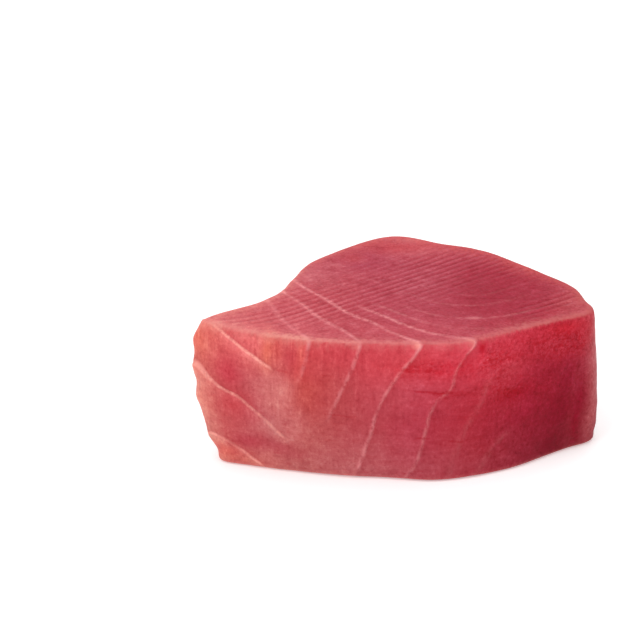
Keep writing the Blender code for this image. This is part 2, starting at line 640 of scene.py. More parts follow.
PULLS = (
    Pull((-14, -36, 0), (36, 12, 9), (0.0, -1.6, 0.0)),
    Pull((31, -31, 0), (12, 10, 9), (0.9, -1.1, 0.0)),
    Pull((50, -15, 0), (6, 7, 6), (-1.0, 1.0, 0.0)),
    Pull((57, -10, 0), (5, 7, 7), (1.0, -0.3, 0.0)),
    Pull((57, -11, 2.5), (4, 6, 2), (-0.5, 0.2, 0.0)),
    Pull((52, 2, 42), (7, 7, 14), (-0.2, 0.3, 0.0)),
    Pull((57, -8, 42), (4, 5, 14), (-1.5, -0.9, 0.0)),
    Pull((55, -4, 42), (4, 4, 6), (-0.3, -0.5, 0.0)),
    Pull((57, -11, 13), (6, 10, 10), (0.4, -0.1, 0.0)),
    Pull((38, 16, 42), (15, 12, 22), (0.3, 0.7, 0.0)),
    Pull((8, 37, 42), (6, 8, 20), (0.0, 0.8, 0.0)),
    Pull((-56.5, -21, 36.5), (3, 4, 3), (-0.8, -0.1, 0.0)),
    Pull((-56, -23, 29), (3, 4, 2.2), (-0.5, -0.4, 0.0)),
    Pull((-56, -23, 23.5), (3, 4, 2), (0.5, 0.0, 0.0)),
    Pull((-55, -24, 19), (3, 4, 2.2), (-0.6, -0.2, 0.0)),
    Pull((-52, -25, 8), (3, 3, 2.4), (-0.5, -0.5, 0.0)),
    Pull((-52, -26, 6), (3, 4, 4), (0.6, 0.2, 0.0)),
    Pull((-49, -27, 0), (4, 4, 1.8), (-0.4, -0.6, 0.0)),
    Pull((-53, -24, 2), (2.5, 4, 2.5), (0.7, 0.2, 0.0)),
    Pull((26, 27, 40), (3, 3, 3), (-0.3, -0.6, 0.0)),
    Pull((44, 9, 40), (3, 3, 3), (-0.4, -0.4, 0.0)),
    Pull((-36, -9, 40), (3, 3, 4), (-0.4, 0.4, 0.0)),
    Pull((-30, 3, 40), (3, 3, 4), (-0.5, 0.3, 0.0)),
)


@dataclass(frozen=True)
class RimGlowStretch:
    """How the painted glow looks along one stretch of the cut edge, where light comes through the thin flesh.

    Attributes:
        toward: the direction of the stretch seen from the block's middle, in degrees from +X.
        inward: how far the pale band reaches over the flat face.
        down: how far it reaches down the side.
        show: how clearly it shows, 0 to 1.
        tint: its colour.
    """

    toward: float
    inward: float
    down: float
    show: float
    tint: Tint


# Painted glow and highlight along the cut edge, stretch by stretch round the block.
RIM_GLOW = (
    RimGlowStretch(-8, 3.4, 1.0, 0.60, (196, 96, 90)),
    RimGlowStretch(9, 4.4, 1.4, 0.68, (202, 88, 86)),
    RimGlowStretch(45, 5.0, 1.4, 0.78, (204, 88, 87)),
    RimGlowStretch(90, 5.0, 1.4, 0.76, (210, 92, 91)),
    RimGlowStretch(115, 3.8, 1.2, 0.62, (210, 102, 98)),
    RimGlowStretch(160, 1.8, 1.0, 0.65, (222, 126, 118)),
    RimGlowStretch(190, 2.6, 1.2, 0.80, (224, 134, 128)),
    RimGlowStretch(200, 3.0, 1.4, 0.80, (226, 134, 126)),
    RimGlowStretch(206, 2.2, 1.6, 0.72, (226, 146, 136)),
    RimGlowStretch(210, 2.2, 1.3, 0.62, (224, 142, 134)),
    RimGlowStretch(219, 2.2, 1.3, 0.64, (222, 140, 132)),
    RimGlowStretch(221, 2.1, 1.3, 0.98, (224, 146, 134)),
    RimGlowStretch(236, 2.0, 1.3, 0.88, (220, 138, 130)),
    RimGlowStretch(256, 2.0, 1.2, 0.82, (213, 124, 122)),
    RimGlowStretch(277, 2.0, 1.2, 0.78, (211, 116, 115)),
    RimGlowStretch(299, 2.2, 1.2, 0.78, (209, 110, 111)),
    RimGlowStretch(308, 2.6, 0.8, 0.78, (200, 102, 103)),
    RimGlowStretch(318, 2.6, 0.5, 0.85, (200, 108, 108)),
    RimGlowStretch(330, 2.8, 0.3, 0.80, (196, 104, 103)),
    RimGlowStretch(342, 3.0, 0.4, 0.70, (194, 100, 98)),
    RimGlowStretch(352, 3.4, 1.0, 0.60, (196, 96, 90)),
)


@dataclass(frozen=True)
class Spot:
    """A soft spot in the flesh.

    Attributes:
        place: X, Y and Z of its middle.
        reach: how far it spreads along each axis.
        show: how strong it is in its middle, 0 to 1.
    """

    place: Place
    reach: Place
    show: float

    def weights(self, places: np.ndarray) -> np.ndarray:
        """How strong it is at each point."""
        return self.show * hill(places, self.place, self.reach)


@dataclass(frozen=True)
class Blush(Spot):
    """A soft spot of another colour.

    Attributes:
        tint: its colour.
    """

    tint: Tint


BLOODY = (
    Spot((44, -23, 35.5), (9, 9, 4.0), 1.00),
    Spot((40, -25, 24), (8, 9, 5.0), 0.45),
    Spot((48, -20, 38), (6, 6, 4), 0.60),
    Spot((25, -33, 36), (5, 5, 3.5), 0.80),
    Spot((6, -38, 35), (12, 8, 3.5), 0.80),
    Spot((31, -30, 24), (8, 6, 2.5), 0.75),
    Spot((27, -32, 30), (7, 6, 6), 0.55),
    Spot((13, -38, 27), (8, 6, 1.5), 0.60),
    Spot((30, 20, 24), (22, 18, 12), 0.50),
    Spot((-6, 34, 12), (12, 9, 4), 0.50),
)

STREAKY = Spot((-32, -34, 37), (6, 10, 8), 0.90)


@dataclass(frozen=True)
class FleshColours:
    """The broad colours: orange and pale at the tip, deep crimson towards the broad end.

    The tints are as daylight shows them on the wet flesh, so beside the flesh's own tone some hold painted
    shade and painted sheen. The even sheen that the wet surface adds to all of them is taken off before they
    are stored.

    Attributes:
        along: X of the colours in each row.
        rows: the colours of the sides at each drop.
        heart: the place on the flat faces that their colours grow out from.
        rings: the colours of the flat faces by their distance from it.
        blushes: the patches laid over both.
        sheen: the sheen's share of the light.
        drift: how far, in millimetres, the rows and rings are led astray.
        blush_drift: how far the patches are.
        darkest: the least that a channel may be.
    """

    # The last stop, at X 58, is paler in every row: a painted sheen on the broad end's corner.
    along: tuple[float, ...] = (-56, -46, -36, -26, -12, 4, 20, 34, 46, 58)
    # Lower down the broad end's rows darken: partly the flesh, partly painted shade under the undercut side.
    rows: tuple[tuple[float, tuple[Tint, ...]], ...] = (
        (5.0, ((218, 111, 100), (208, 91, 93), (209, 97, 94), (203, 76, 81), (197, 68, 77),
               (208, 76, 86), (205, 68, 83), (199, 56, 71), (182, 46, 61), (184, 72, 78))),
        (13.0, ((206, 104, 97), (195, 86, 91), (196, 93, 96), (187, 73, 74), (184, 72, 78),
                (192, 71, 85), (185, 55, 69), (181, 48, 63), (155, 38, 55), (172, 68, 77))),
        (25.0, ((204, 110, 101), (189, 80, 84), (189, 102, 105), (184, 84, 84), (179, 71, 78),
                (177, 60, 74), (174, 47, 60), (158, 36, 53), (136, 28, 43), (160, 57, 66))),
        # The lowest row is paler and greyer on the left half: a painted reflection of the white table.
        (38.0, ((217, 150, 134), (198, 96, 95), (188, 97, 97), (186, 98, 97), (186, 94, 98),
                (177, 75, 85), (168, 58, 69), (147, 42, 56), (127, 30, 42), (148, 48, 58))),
    )
    heart: tuple[float, float] = (27.0, -3.0)
    rings: tuple[tuple[float, Tint], ...] = (
        (0.0, (157, 46, 61)),
        (12.0, (165, 53, 68)),
        (22.0, (175, 67, 81)),
        (34.0, (181, 73, 86)),
        (48.0, (187, 78, 88)),
        (62.0, (200, 92, 100)),
        (76.0, (204, 100, 104)),
        (90.0, (220, 114, 115)),
    )
    blushes: tuple[Blush, ...] = (
        Blush((-41.5, -31, 39), (5.5, 6, 4), 0.80, (230, 112, 113)),
        Blush((-36.4, -33, 37), (1.5, 6, 5), 0.75, (224, 108, 90)),
        Blush((-34.0, -33, 38), (1.1, 6, 4), 0.55, (206, 80, 76)),
        Blush((-30.6, -35, 36.5), (2.0, 5, 3), 0.65, (186, 62, 74)),
        Blush((-27.6, -36, 37), (1.1, 6, 5), 0.55, (224, 106, 94)),
        Blush((-32, -34.5, 26.5), (1.4, 5, 2.4), 0.60, (224, 136, 130)),
        Blush((-29, -35, 34), (3.5, 6, 4), 0.70, (200, 70, 74)),
        Blush((-28, -36, 27), (4, 6, 5), 0.35, (198, 76, 66)),
        # These two are painted sheen: a pale grey haze on the left of the front side.
        Blush((-34, -34, 25), (5, 8, 8), 0.85, (206, 114, 112)),
        Blush((-30, -35, 15), (5, 8, 5), 0.75, (200, 110, 109)),
        Blush((-47.5, -29, 30), (4.5, 6, 5), 0.85, (192, 60, 72)),
        Blush((-45, -30, 20), (6, 6, 4), 0.80, (194, 68, 74)),
        Blush((-41, -31, 17), (4, 6, 4), 0.50, (186, 72, 80)),
        Blush((-41.5, -31, 9), (5, 6, 2.6), 0.75, (178, 60, 72)),
        Blush((-34, -33, 8.0), (5, 6, 2.2), 0.60, (176, 64, 74)),
        Blush((-28, -34, 6.5), (4.5, 6, 2.0), 0.50, (178, 74, 80)),
        # Painted highlight along the tip's left end.
        Blush((-56, -24, 20), (4, 5, 8), 0.80, (228, 140, 126)),
        Blush((-49, -27, 3.5), (6, 6, 3), 0.80, (212, 94, 86)),
        Blush((-44, -30, 1.5), (8, 6, 1.5), 0.70, (214, 118, 106)),
        Blush((-56, -22, 36), (5, 5, 5), 0.60, (228, 116, 98)),
        Blush((45, -22, 40.5), (6, 6, 1.8), 0.85, (196, 42, 54)),
        Blush((44, -23, 35), (7, 7, 3.5), 0.85, (178, 50, 64)),
        Blush((52, -19.5, 6), (1.9, 4, 5), 0.80, (130, 28, 40)),
        Blush((51, -20, 12), (1.5, 4, 10), 0.85, (138, 20, 38)),
        # These two are painted sheen, making the broad end's corner paler.
        Blush((55.3, -17.5, 33), (2.4, 2.6, 9), 0.80, (188, 98, 101)),
        Blush((55.3, -17.5, 14), (2.4, 2.6, 13), 0.80, (178, 88, 91)),
        Blush((43, -24, 5), (3, 4, 3), 0.60, (120, 22, 36)),
        Blush((30, -31, 31), (5, 6, 3), 0.55, (190, 66, 78)),
        Blush((32, -30, 23), (7, 6, 2), 0.60, (160, 26, 42)),
        Blush((14, -38, 35), (9, 5, 3), 0.60, (204, 52, 68)),
        Blush((21.8, -34.5, 40.2), (1.1, 4, 2.2), 0.80, (186, 24, 40)),
        Blush((-24, 9, 43), (8, 9, 3), 0.55, (196, 104, 112)),
        Blush((-10, 19, 43), (11, 9, 3), 0.75, (170, 65, 83)),
        Blush((7, 35.5, 43), (6, 3, 3), 0.60, (212, 130, 127)),
        Blush((37, 12, 43), (5, 4, 3), 0.40, (200, 108, 110)),
        Blush((-54, -27, 43), (4, 4, 3), 0.50, (212, 94, 94)),
        Blush((-36, -32, 4), (4, 5, 3), 0.50, (206, 114, 110)),
        # The same painted highlight, low on the tip's left end.
        Blush((-55, -24, 4), (3, 4, 4), 0.50, (222, 146, 130)),
        Blush((9, 2, 43), (10, 11, 3), 0.50, (188, 90, 102)),
        Blush((8, 27, 43), (12, 7, 3), 0.60, (200, 94, 101)),
        Blush((33, 3, 43), (9, 9, 3), 0.60, (164, 51, 66)),
        Blush((34, -18, 43), (9, 6, 3), 0.55, (164, 48, 64)),
        Blush((50, -11, 43), (6, 8, 3), 0.60, (190, 83, 90)),
        Blush((3, -30, 43), (18, 5, 3), 0.50, (198, 84, 95)),
        Blush((20, -21, 43), (1.4, 0.9, 3), 0.60, (226, 150, 150)),
        Blush((24, 26, 20), (12, 10, 12), 0.50, (150, 32, 46)),
        Blush((-12, 28, 14), (10, 10, 9), 0.50, (196, 96, 98)),
        Blush((1, 29, 43), (9, 3.5, 3), 0.70, (198, 76, 82)),
        Blush((-13, 20.5, 43), (4, 3.5, 3), 0.60, (196, 78, 84)),
        Blush((-17.5, 15, 43), (3.2, 2.2, 3), 0.35, (212, 118, 122)),
        Blush((40, 14, 34), (10, 8, 7), 0.55, (192, 44, 56)),
        Blush((10, 5, 0), (20, 14, 3), 0.50, (176, 66, 78)),
        Blush((-4, 28, 43), (4.5, 3.5, 3), 0.60, (174, 60, 72)),
        Blush((31, -25, 43), (9, 5, 3), 0.60, (172, 52, 64)),
        Blush((46, -13, 43), (5, 4, 3), 0.55, (172, 66, 72)),
    )
    sheen: float = 0.008
    drift: float = 3.2
    blush_drift: float = 1.3
    darkest: float = 0.002

    @staticmethod
    def read_row(tints: Sequence[Tint], at: np.ndarray, places: Sequence[float]) -> np.ndarray:
        """Reads a row of colours at many places along it.

        Args:
            tints: the row's colours.
            at: where each point is along the row.
            places: where each colour is.

        Returns:
            One colour for each point.
        """
        channels = zip(*tints)
        return np.stack([np.interp(at, places, channel) for channel in channels], axis=1)

    def paint(self, places: np.ndarray, flat: np.ndarray, height: float) -> np.ndarray:
        """The broad colour at each point of the block.

        Args:
            places: points in millimetres.
            flat: 1 on the flat faces, 0 on the sides.
            height: the block's height in millimetres.

        Returns:
            Linear colours without the sheen.
        """
        drift = drifts(places, 16.0, (41.3, 47.9, 53.1))
        moved = places + self.drift * drift
        drop = height - moved[:, 2]
        levels = [level for level, _ in self.rows]
        sides = np.zeros((len(places), 3))
        for level, tints in self.rows:
            share = np.interp(drop, levels, [float(other == level) for other in levels])
            sides += share[:, None] * self.read_row(tints, moved[:, 0], self.along)
        away = np.linalg.norm(moved[:, :2] - np.asarray(self.heart), axis=1)
        faces = self.read_row([tint for _, tint in self.rings], away, [ring for ring, _ in self.rings])
        tints = sides + flat[:, None] * (faces - sides)
        near = places + self.blush_drift * drift
        for blush in self.blushes:
            tints += blush.weights(near)[:, None] * (np.asarray(blush.tint) - tints)
        return np.clip(linear(tints) - self.sheen, self.darkest, 1.0)


@dataclass(frozen=True)
class Clouds:
    """One soft noise in the flesh.

    Attributes:
        scale: how many clouds there are in a millimetre.
        detail: how many finer levels it has.
        rough: how strong those are.
        warp: how much it is drawn out by itself.
        stretch: what each axis is multiplied by first.
        shift: what is added after that.
    """

    scale: float
    detail: float
    rough: float
    warp: float = 0.0
    stretch: Place = (1.0, 1.0, 1.0)
    shift: Place = (0.0, 0.0, 0.0)


class NodeBench:
    """Adds a material's nodes one by one and joins them."""

    def __init__(self, tree: bpy.types.NodeTree) -> None:
        """Starts on an empty tree."""
        self.tree = tree
        self.column = 0

    def add(self, kind: str, **settings: object) -> bpy.types.Node:
        """Adds a node in the next free place.

        Args:
            kind: Blender's name of the node.
            settings: the node's own settings.

        Returns:
            The node.
        """
        node = self.tree.nodes.new(kind)
        node.location = (220.0 * (self.column % 24), -320.0 * (self.column // 24))
        self.column += 1
        for name, value in settings.items():
            setattr(node, name, value)
        return node

    def feed(self, socket: bpy.types.NodeSocket, value: object) -> None:
        """Joins another node's output to a socket, or sets the socket to a plain value.

        Args:
            socket: what is fed.
            value: an output or a plain value.
        """
        if isinstance(value, bpy.types.NodeSocket):
            self.tree.links.new(value, socket)
        else:
            socket.default_value = value

    @staticmethod
    def set(node: bpy.types.Node, plain: dict[str, object]) -> None:
        """Sets a node's inputs to these plain values, by their names."""
        for name, value in plain.items():
            node.inputs[name].default_value = value

    def math(self, operation: str, *values: object) -> bpy.types.NodeSocket:
        """Works on numbers.

        Args:
            operation: Blender's name of the operation.
            values: sockets or plain numbers.

        Returns:
            The result.
        """
        node = self.add("ShaderNodeMath", operation=operation)
        for socket, value in zip(node.inputs, values):
            self.feed(socket, value)
        return node.outputs[0]

    def times(self, *values: object) -> bpy.types.NodeSocket:
        """Multiplies numbers together.

        Args:
            values: sockets or plain numbers.

        Returns:
            The product.
        """
        total = values[0]
        for value in values[1:]:
            total = self.math("MULTIPLY", total, value)
        return total

    def less(self, first: object, second: object) -> bpy.types.NodeSocket:
        """Takes the second number from the first."""
        return self.math("SUBTRACT", first, second)

    def span(
        self, value: object, low: object, high: object, start: object = 0.0, end: object = 1.0
    ) -> bpy.types.NodeSocket:
        """Carries a value smoothly from one span to another, and holds it at the ends.

        Args:
            value: what is carried.
            low: the value that gives start.
            high: the value that gives end.
            start: the result at low.
            end: the result at high.

        Returns:
            The carried value.
        """
        node = self.add("ShaderNodeMapRange", interpolation_type="SMOOTHSTEP", clamp=True)
        names = ("Value", "From Min", "From Max", "To Min", "To Max")
        for name, given in zip(names, (value, low, high, start, end)):
            self.feed(node.inputs[name], given)
        return node.outputs["Result"]

    def mix(self, share: object, first: object, second: object, blend: str = "MIX") -> bpy.types.NodeSocket:
        """Lays a second colour over a first.

        Args:
            share: how much of the second colour there is, 0 to 1.
            first: the colour below.
            second: the colour laid over it.
            blend: Blender's name of the way that they mix.

        Returns:
            The mixed colour.
        """
        node = self.add("ShaderNodeMix", data_type="RGBA", blend_type=blend, clamp_factor=True)
        self.feed(node.inputs[0], share)
        self.feed(node.inputs[6], first)
        self.feed(node.inputs[7], second)
        return node.outputs[2]

    def stored(self, name: str, output: str = "Fac") -> bpy.types.NodeSocket:
        """Reads a value, or with the output Color a colour, that the mesh stores at its points."""
        node = self.add("ShaderNodeAttribute", attribute_type="GEOMETRY", attribute_name=name)
        return node.outputs[output]

    def place(self, stretch: Place = (1.0, 1.0, 1.0), shift: Place = (0.0, 0.0, 0.0)) -> bpy.types.NodeSocket:
        """The point on the piece in millimetres, drawn out along each axis.

        Args:
            stretch: what each axis is multiplied by.
            shift: what is added after that.

        Returns:
            The point.
        """
        source = self.add("ShaderNodeTexCoord").outputs["Object"]
        node = self.add("ShaderNodeMapping", vector_type="POINT")
        self.feed(node.inputs["Vector"], source)
        self.set(node, {"Scale": tuple(value / MM for value in stretch), "Location": shift})
        return node.outputs["Vector"]

    def clouds(self, pattern: Clouds) -> bpy.types.NodeSocket:
        """Adds a soft noise.

        Args:
            pattern: how it looks.

        Returns:
            The noise, 0 to 1.
        """
        node = self.add("ShaderNodeTexNoise", noise_dimensions="3D")
        self.feed(node.inputs["Vector"], self.place(pattern.stretch, pattern.shift))
        self.set(node, {"Scale": pattern.scale, "Detail": pattern.detail})
        self.set(node, {"Roughness": pattern.rough, "Distortion": pattern.warp})
        return node.outputs["Fac"]


def new_group(
    name: str, inputs: Sequence[tuple[str, float]], outputs: Sequence[str]
) -> tuple[NodeBench, object, object]:
    """Starts a shader node group with its named numbers in and out.

    Args:
        name: the group's name.
        inputs: each input's name and plain value.
        outputs: each output's name.

    Returns:
        A bench on the group, what comes in, and what goes out.
    """
    group = bpy.data.node_groups.new(name, "ShaderNodeTree")
    for title, start in inputs:
        socket = group.interface.new_socket(name=title, in_out="INPUT", socket_type="NodeSocketFloat")
        socket.default_value = start
    for title in outputs:
        group.interface.new_socket(name=title, in_out="OUTPUT", socket_type="NodeSocketFloat")
    bench = NodeBench(group)
    return bench, bench.add("NodeGroupInput").outputs, bench.add("NodeGroupOutput").inputs


def sheet_group() -> bpy.types.NodeTree:
    """Makes the node group that draws one family of pale sheets.

    Returns:
        The group. It takes the count, the spacing and the line's width in millimetres and how much it shows.
        It gives masks for the line and for the bands just before and just past it.
    """
    inputs = (("Count", 0.0), ("Spacing", 13.0), ("Show", 1.0), ("Width", 1.0), ("Band", 0.3))
    bench, given, result = new_group("pale_sheets", inputs, ("Line", "Before", "Past"))
    part = bench.less(bench.math("FRACT", bench.math("ADD", given["Count"], 0.5)), 0.5)
    away = bench.math("ABSOLUTE", part)
    line = bench.span(bench.times(away, given["Spacing"]), given["Width"], 0.0)
    near = bench.math("POWER", bench.less(1.0, bench.span(away, 0.0, given["Band"])), 1.5)
    edge = bench.math("DIVIDE", 0.35, given["Spacing"])
    past = bench.span(part, bench.times(edge, -1.0), edge)
    bench.feed(result["Line"], bench.times(line, given["Show"]))
    bench.feed(result["Before"], bench.times(near, bench.less(1.0, past), given["Show"]))
    bench.feed(result["Past"], bench.times(near, past, given["Show"]))
    return bench.tree


def crack_group() -> bpy.types.NodeTree:
    """Makes the node group that draws one level crack.

    Returns:
        The group. It takes a point's X, drop and side and the crack's sizes, and gives its mask.
    """
    names = ("X", "Drop", "Side", "Start", "End", "Level", "Fall", "Width", "Show")
    bench, given, result = new_group("level_crack", [(name, 0.0) for name in names], ("Crack",))
    length = bench.less(given["End"], given["Start"])
    share = bench.math("DIVIDE", bench.less(given["X"], given["Start"]), length)
    level = bench.math("ADD", given["Level"], bench.times(given["Fall"], share))
    off = bench.math("ABSOLUTE", bench.less(given["Drop"], level))
    line = bench.span(off, given["Width"], bench.times(given["Width"], 0.2))
    ends = bench.times(bench.span(share, -0.03, 0.2), bench.span(share, 1.03, 0.8))
    bench.feed(result["Crack"], bench.times(line, ends, given["Side"], given["Show"]))
    return bench.tree


@dataclass
class Coat:
    """The flesh's colour and relief, while one layer after another is laid on.

    Attributes:
        bench: where the nodes go.
        colour: the colour so far.
        relief: the relief so far, for the bump.
    """

    bench: NodeBench
    colour: object
    relief: object = 0.0

    def tone(self, share: object, gains: Place) -> None:
        """Makes the colour lighter or darker: at a full share its channels are multiplied by the gains."""
        self.colour = self.bench.mix(share, self.colour, (*gains, 1.0), "MULTIPLY")

    def cover(self, share: object, colour: object) -> None:
        """Lays another colour over it."""
        self.colour = self.bench.mix(share, self.colour, colour)

    def lift(self, share: float, value: object) -> None:
        """Adds a share of a value to the relief."""
        self.relief = self.bench.math("MULTIPLY_ADD", value, share, self.relief)


@dataclass(frozen=True)
class FleshFinish:
    """The wet raw flesh, over the broad colours that are stored on the mesh.

    Attributes:
        sheet_tint: the pale sheets of the broad end.
        tip_tint: the stronger sheets of the tip.
        pale: what red, green and blue are multiplied by in a full light mark.
        deep: what they are multiplied by in a full dark mark.
        blood_and_crack_shade: what they are multiplied by where the flesh is bloody, and in the cracks'
            painted shade.
        roughness: the least and the most rough that the wet surface is.
        gloss: how strongly it mirrors.
        scatter: how much light goes through it.
        bump: how strong the fine relief is.
        bump_height: how high it is, in metres.
        patches: uneven patches a few millimetres wide.
        grain: fine grain over everything.
        fibre: fine fibres up and down the sides.
        fibre_breaks: where those fibres are broken.
        level_lines: short level lines across them.
        threads: the dark net's threads.
        blots: its blots.
        drops: its drops.
        specks: pale specks between them.
        beads: what the pale sheets are broken into.
        rows: what the knife's strokes are broken into.
        ragged: how ragged the painted glow along the cut edge and the foot's line are.
        wet: where the wet film is thicker.
        waver: how the cracks stray.
    """

    sheet_tint: Tint = (255, 168, 170)
    tip_tint: Tint = (255, 172, 160)
    pale: Place = (1.22, 1.75, 1.62)
    deep: Place = (0.72, 0.42, 0.48)
    blood_and_crack_shade: Place = (0.88, 0.36, 0.44)
    roughness: tuple[float, float] = (0.32, 0.54)
    gloss: float = 0.09
    scatter: float = 0.10
    bump: float = 0.35
    bump_height: float = 0.25 * MM
    patches: Clouds = Clouds(0.30, 3.0, 0.65)
    grain: Clouds = Clouds(1.15, 3.0, 0.70, stretch=(1.0, 1.0, 0.8))
    fibre: Clouds = Clouds(1.00, 3.0, 0.60, 0.15, (1.0, 1.0, 0.08))
    fibre_breaks: Clouds = Clouds(0.35, 2.0, 0.50, stretch=(1.0, 1.0, 0.5))
    level_lines: Clouds = Clouds(1.10, 3.0, 0.60, 0.30, (0.2, 0.2, 1.0))
    threads: Clouds = Clouds(0.42, 4.0, 0.62, 1.10, (1.0, 1.0, 1.35))
    blots: Clouds = Clouds(0.66, 3.0, 0.65, 0.40, (0.8, 0.8, 1.1))
    drops: Clouds = Clouds(0.95, 2.0, 0.55, stretch=(1.0, 1.0, 1.2))
    specks: Clouds = Clouds(1.10, 2.0, 0.50, stretch=(1.0, 1.0, 1.2), shift=(9.0, 4.0, 2.0))
    beads: Clouds = Clouds(0.55, 3.0, 0.70, stretch=(1.0, 1.0, 0.6))
    rows: Clouds = Clouds(0.60, 2.0, 0.60)
    ragged: Clouds = Clouds(0.75, 4.0, 0.70, stretch=(1.0, 1.0, 0.35))
    wet: Clouds = Clouds(0.35, 3.0, 0.60)
    waver: Clouds = Clouds(0.50, 3.0, 0.60, stretch=(1.0, 0.3, 0.3))

    def _mottle(
        self,
        coat: Coat,
        pattern: Clouds,
        strength: object,
        light: Place = (0.50, 0.74, 1.0),
        dark: Place = (0.50, 0.26, 1.0),
        dark_gains: Place | None = None,
    ) -> object:
        """Lays light and dark marks of one noise.

        Args:
            coat: the flesh so far.
            pattern: the noise.
            strength: how strong the marks are.
            light: where the light ones start and are full, and how strong they are then.
            dark: the same for the dark ones.
            dark_gains: what the colour is multiplied by in a full dark one, if not as usual.

        Returns:
            The noise.
        """
        bench = coat.bench
        marks = bench.clouds(pattern)
        for (start, full, most), gains in ((light, self.pale), (dark, dark_gains or self.deep)):
            coat.tone(bench.times(bench.span(marks, start, full, 0.0, most), strength), gains)
        return marks

    def _grain_and_fibres(self, coat: Coat) -> None:
        """Lays patches and grain over everything, fibres up and down the sides, and short level lines.

        Args:
            coat: the flesh so far.
        """
        bench = coat.bench
        on_top = bench.stored("flat_face")
        self._mottle(coat, self.patches, bench.span(on_top, 0.0, 1.0, 0.46, 0.60))
        strength = bench.times(bench.span(on_top, 0.0, 1.0, 0.50, 0.66), bench.stored("grainy"))
        coat.lift(0.5, self._mottle(coat, self.grain, strength))

        fibres = bench.stored("fibres")
        show = bench.times(fibres, bench.span(bench.clouds(self.fibre_breaks), 0.35, 0.65, 0.25, 1.0))
        fibre = self._mottle(coat, self.fibre, show, (0.50, 0.74, 0.60), (0.50, 0.30, 0.50))
        coat.lift(0.7, bench.times(fibre, fibres))
        show = bench.times(bench.less(1.0, on_top), bench.span(fibres, 0.0, 0.9, 0.9, 0.3))
        self._mottle(coat, self.level_lines, show, (0.52, 0.74, 0.28), (0.48, 0.28, 0.42), self.blood_and_crack_shade)

    def _blood_net(self, coat: Coat) -> None:
        """Lays a dark net of threads, blots and drops, with pale specks in it, where the flesh is bloody.

        Args:
            coat: the flesh so far.
        """
        bench = coat.bench
        netted = bench.stored("netted")
        threads = bench.math("ABSOLUTE", bench.less(bench.clouds(self.threads), 0.5))
        net = bench.times(bench.span(threads, 0.05, 0.005), 0.55)
        net = bench.math("MAXIMUM", net, bench.times(bench.span(bench.clouds(self.blots), 0.53, 0.40), 0.70))
        net = bench.math("MAXIMUM", net, bench.span(bench.clouds(self.drops), 0.52, 0.40))
        net = bench.times(netted, net)
        coat.tone(net, self.blood_and_crack_shade)
        coat.lift(-0.4, net)
        specks = bench.span(bench.clouds(self.specks), 0.55, 0.68)
        coat.tone(bench.times(specks, netted, 0.45), self.pale)

    @staticmethod
    def _family(bench: NodeBench, group: bpy.types.NodeTree, family: str, band: float) -> bpy.types.Node:
        """Adds the group node that draws one family of sheets.

        Args:
            bench: where the nodes go.
            group: the sheets' node group.
            family: how the names of the family's stored values start.
            band: how wide the bands beside a sheet are, as a share of the spacing.

        Returns:
            The node.
        """
        node = bench.add("ShaderNodeGroup", node_tree=group)
        for name in ("Count", "Spacing", "Show", "Width"):
            bench.feed(node.inputs[name], bench.stored(f"{family}_{name.lower()}"))
        node.inputs["Band"].default_value = band
        return node

    def _step_light_and_shade(self, coat: Coat, main: bpy.types.Node, tip: bpy.types.Node) -> None:
        """Paints each sheet's step: a painted highlight on the proud flake and a painted shadow past the
        step.

        Args:
            coat: the flesh so far.
            main: the node of the broad end's sheets.
            tip: the node of the tip's.
        """
        bench = coat.bench
        on_top = bench.stored("flat_face")
        coat.tone(bench.times(main.outputs["Before"], 0.25), self.pale)
        coat.tone(bench.times(main.outputs["Past"], bench.span(on_top, 0.0, 1.0, 0.40, 0.32)), self.deep)
        coat.tone(bench.times(tip.outputs["Past"], 0.55), self.pale)
        coat.tone(bench.times(tip.outputs["Before"], 0.40), self.deep)

    def _stroke_shading(self, coat: Coat) -> None:
        """Paints shade at the foot of each knife ridge, in rows of beads, and a highlight on each crest.

        Args:
            coat: the flesh so far.
        """
        bench = coat.bench
        wave = bench.math("COSINE", bench.times(bench.stored("strokes"), 2.0 * math.pi))
        show = bench.stored("stroke_show")
        rows = bench.span(bench.clouds(self.rows), 0.36, 0.60, 0.30, 1.2)
        coat.tone(bench.times(bench.span(wave, 0.3, -1.0), show, rows, 0.60), self.deep)
        coat.tone(bench.times(bench.span(wave, 0.0, 1.0), show, 0.34), self.pale)

    def _lines(self, coat: Coat, main: bpy.types.Node, tip: bpy.types.Node) -> None:
        """Draws the sheets themselves, whiter close to the cut edge with a painted glow.

        Args:
            coat: the flesh so far.
            main: the node of the broad end's sheets.
            tip: the node of the tip's.
        """
        bench = coat.bench
        away = bench.math("ABSOLUTE", bench.stored("edge_away"))
        near_edge = bench.span(away, 3.5, 0.5, 0.0, bench.stored("node_show"))
        beads = bench.span(bench.clouds(self.beads), 0.36, 0.62, 0.22, 1.15)
        strength = bench.times(beads, bench.span(bench.stored("flat_face"), 0.0, 1.0, 0.32, 0.50))
        strength = bench.math("MULTIPLY_ADD", near_edge, 0.55, strength)
        main_line = bench.times(main.outputs["Line"], strength)
        tip_line = bench.times(tip.outputs["Line"], bench.span(beads, 0.30, 1.0, 0.42, 0.80))
        coat.cover(main_line, shade(self.sheet_tint))
        coat.cover(tip_line, shade(self.tip_tint))
        coat.lift(0.5, bench.math("MAXIMUM", main_line, tip_line))

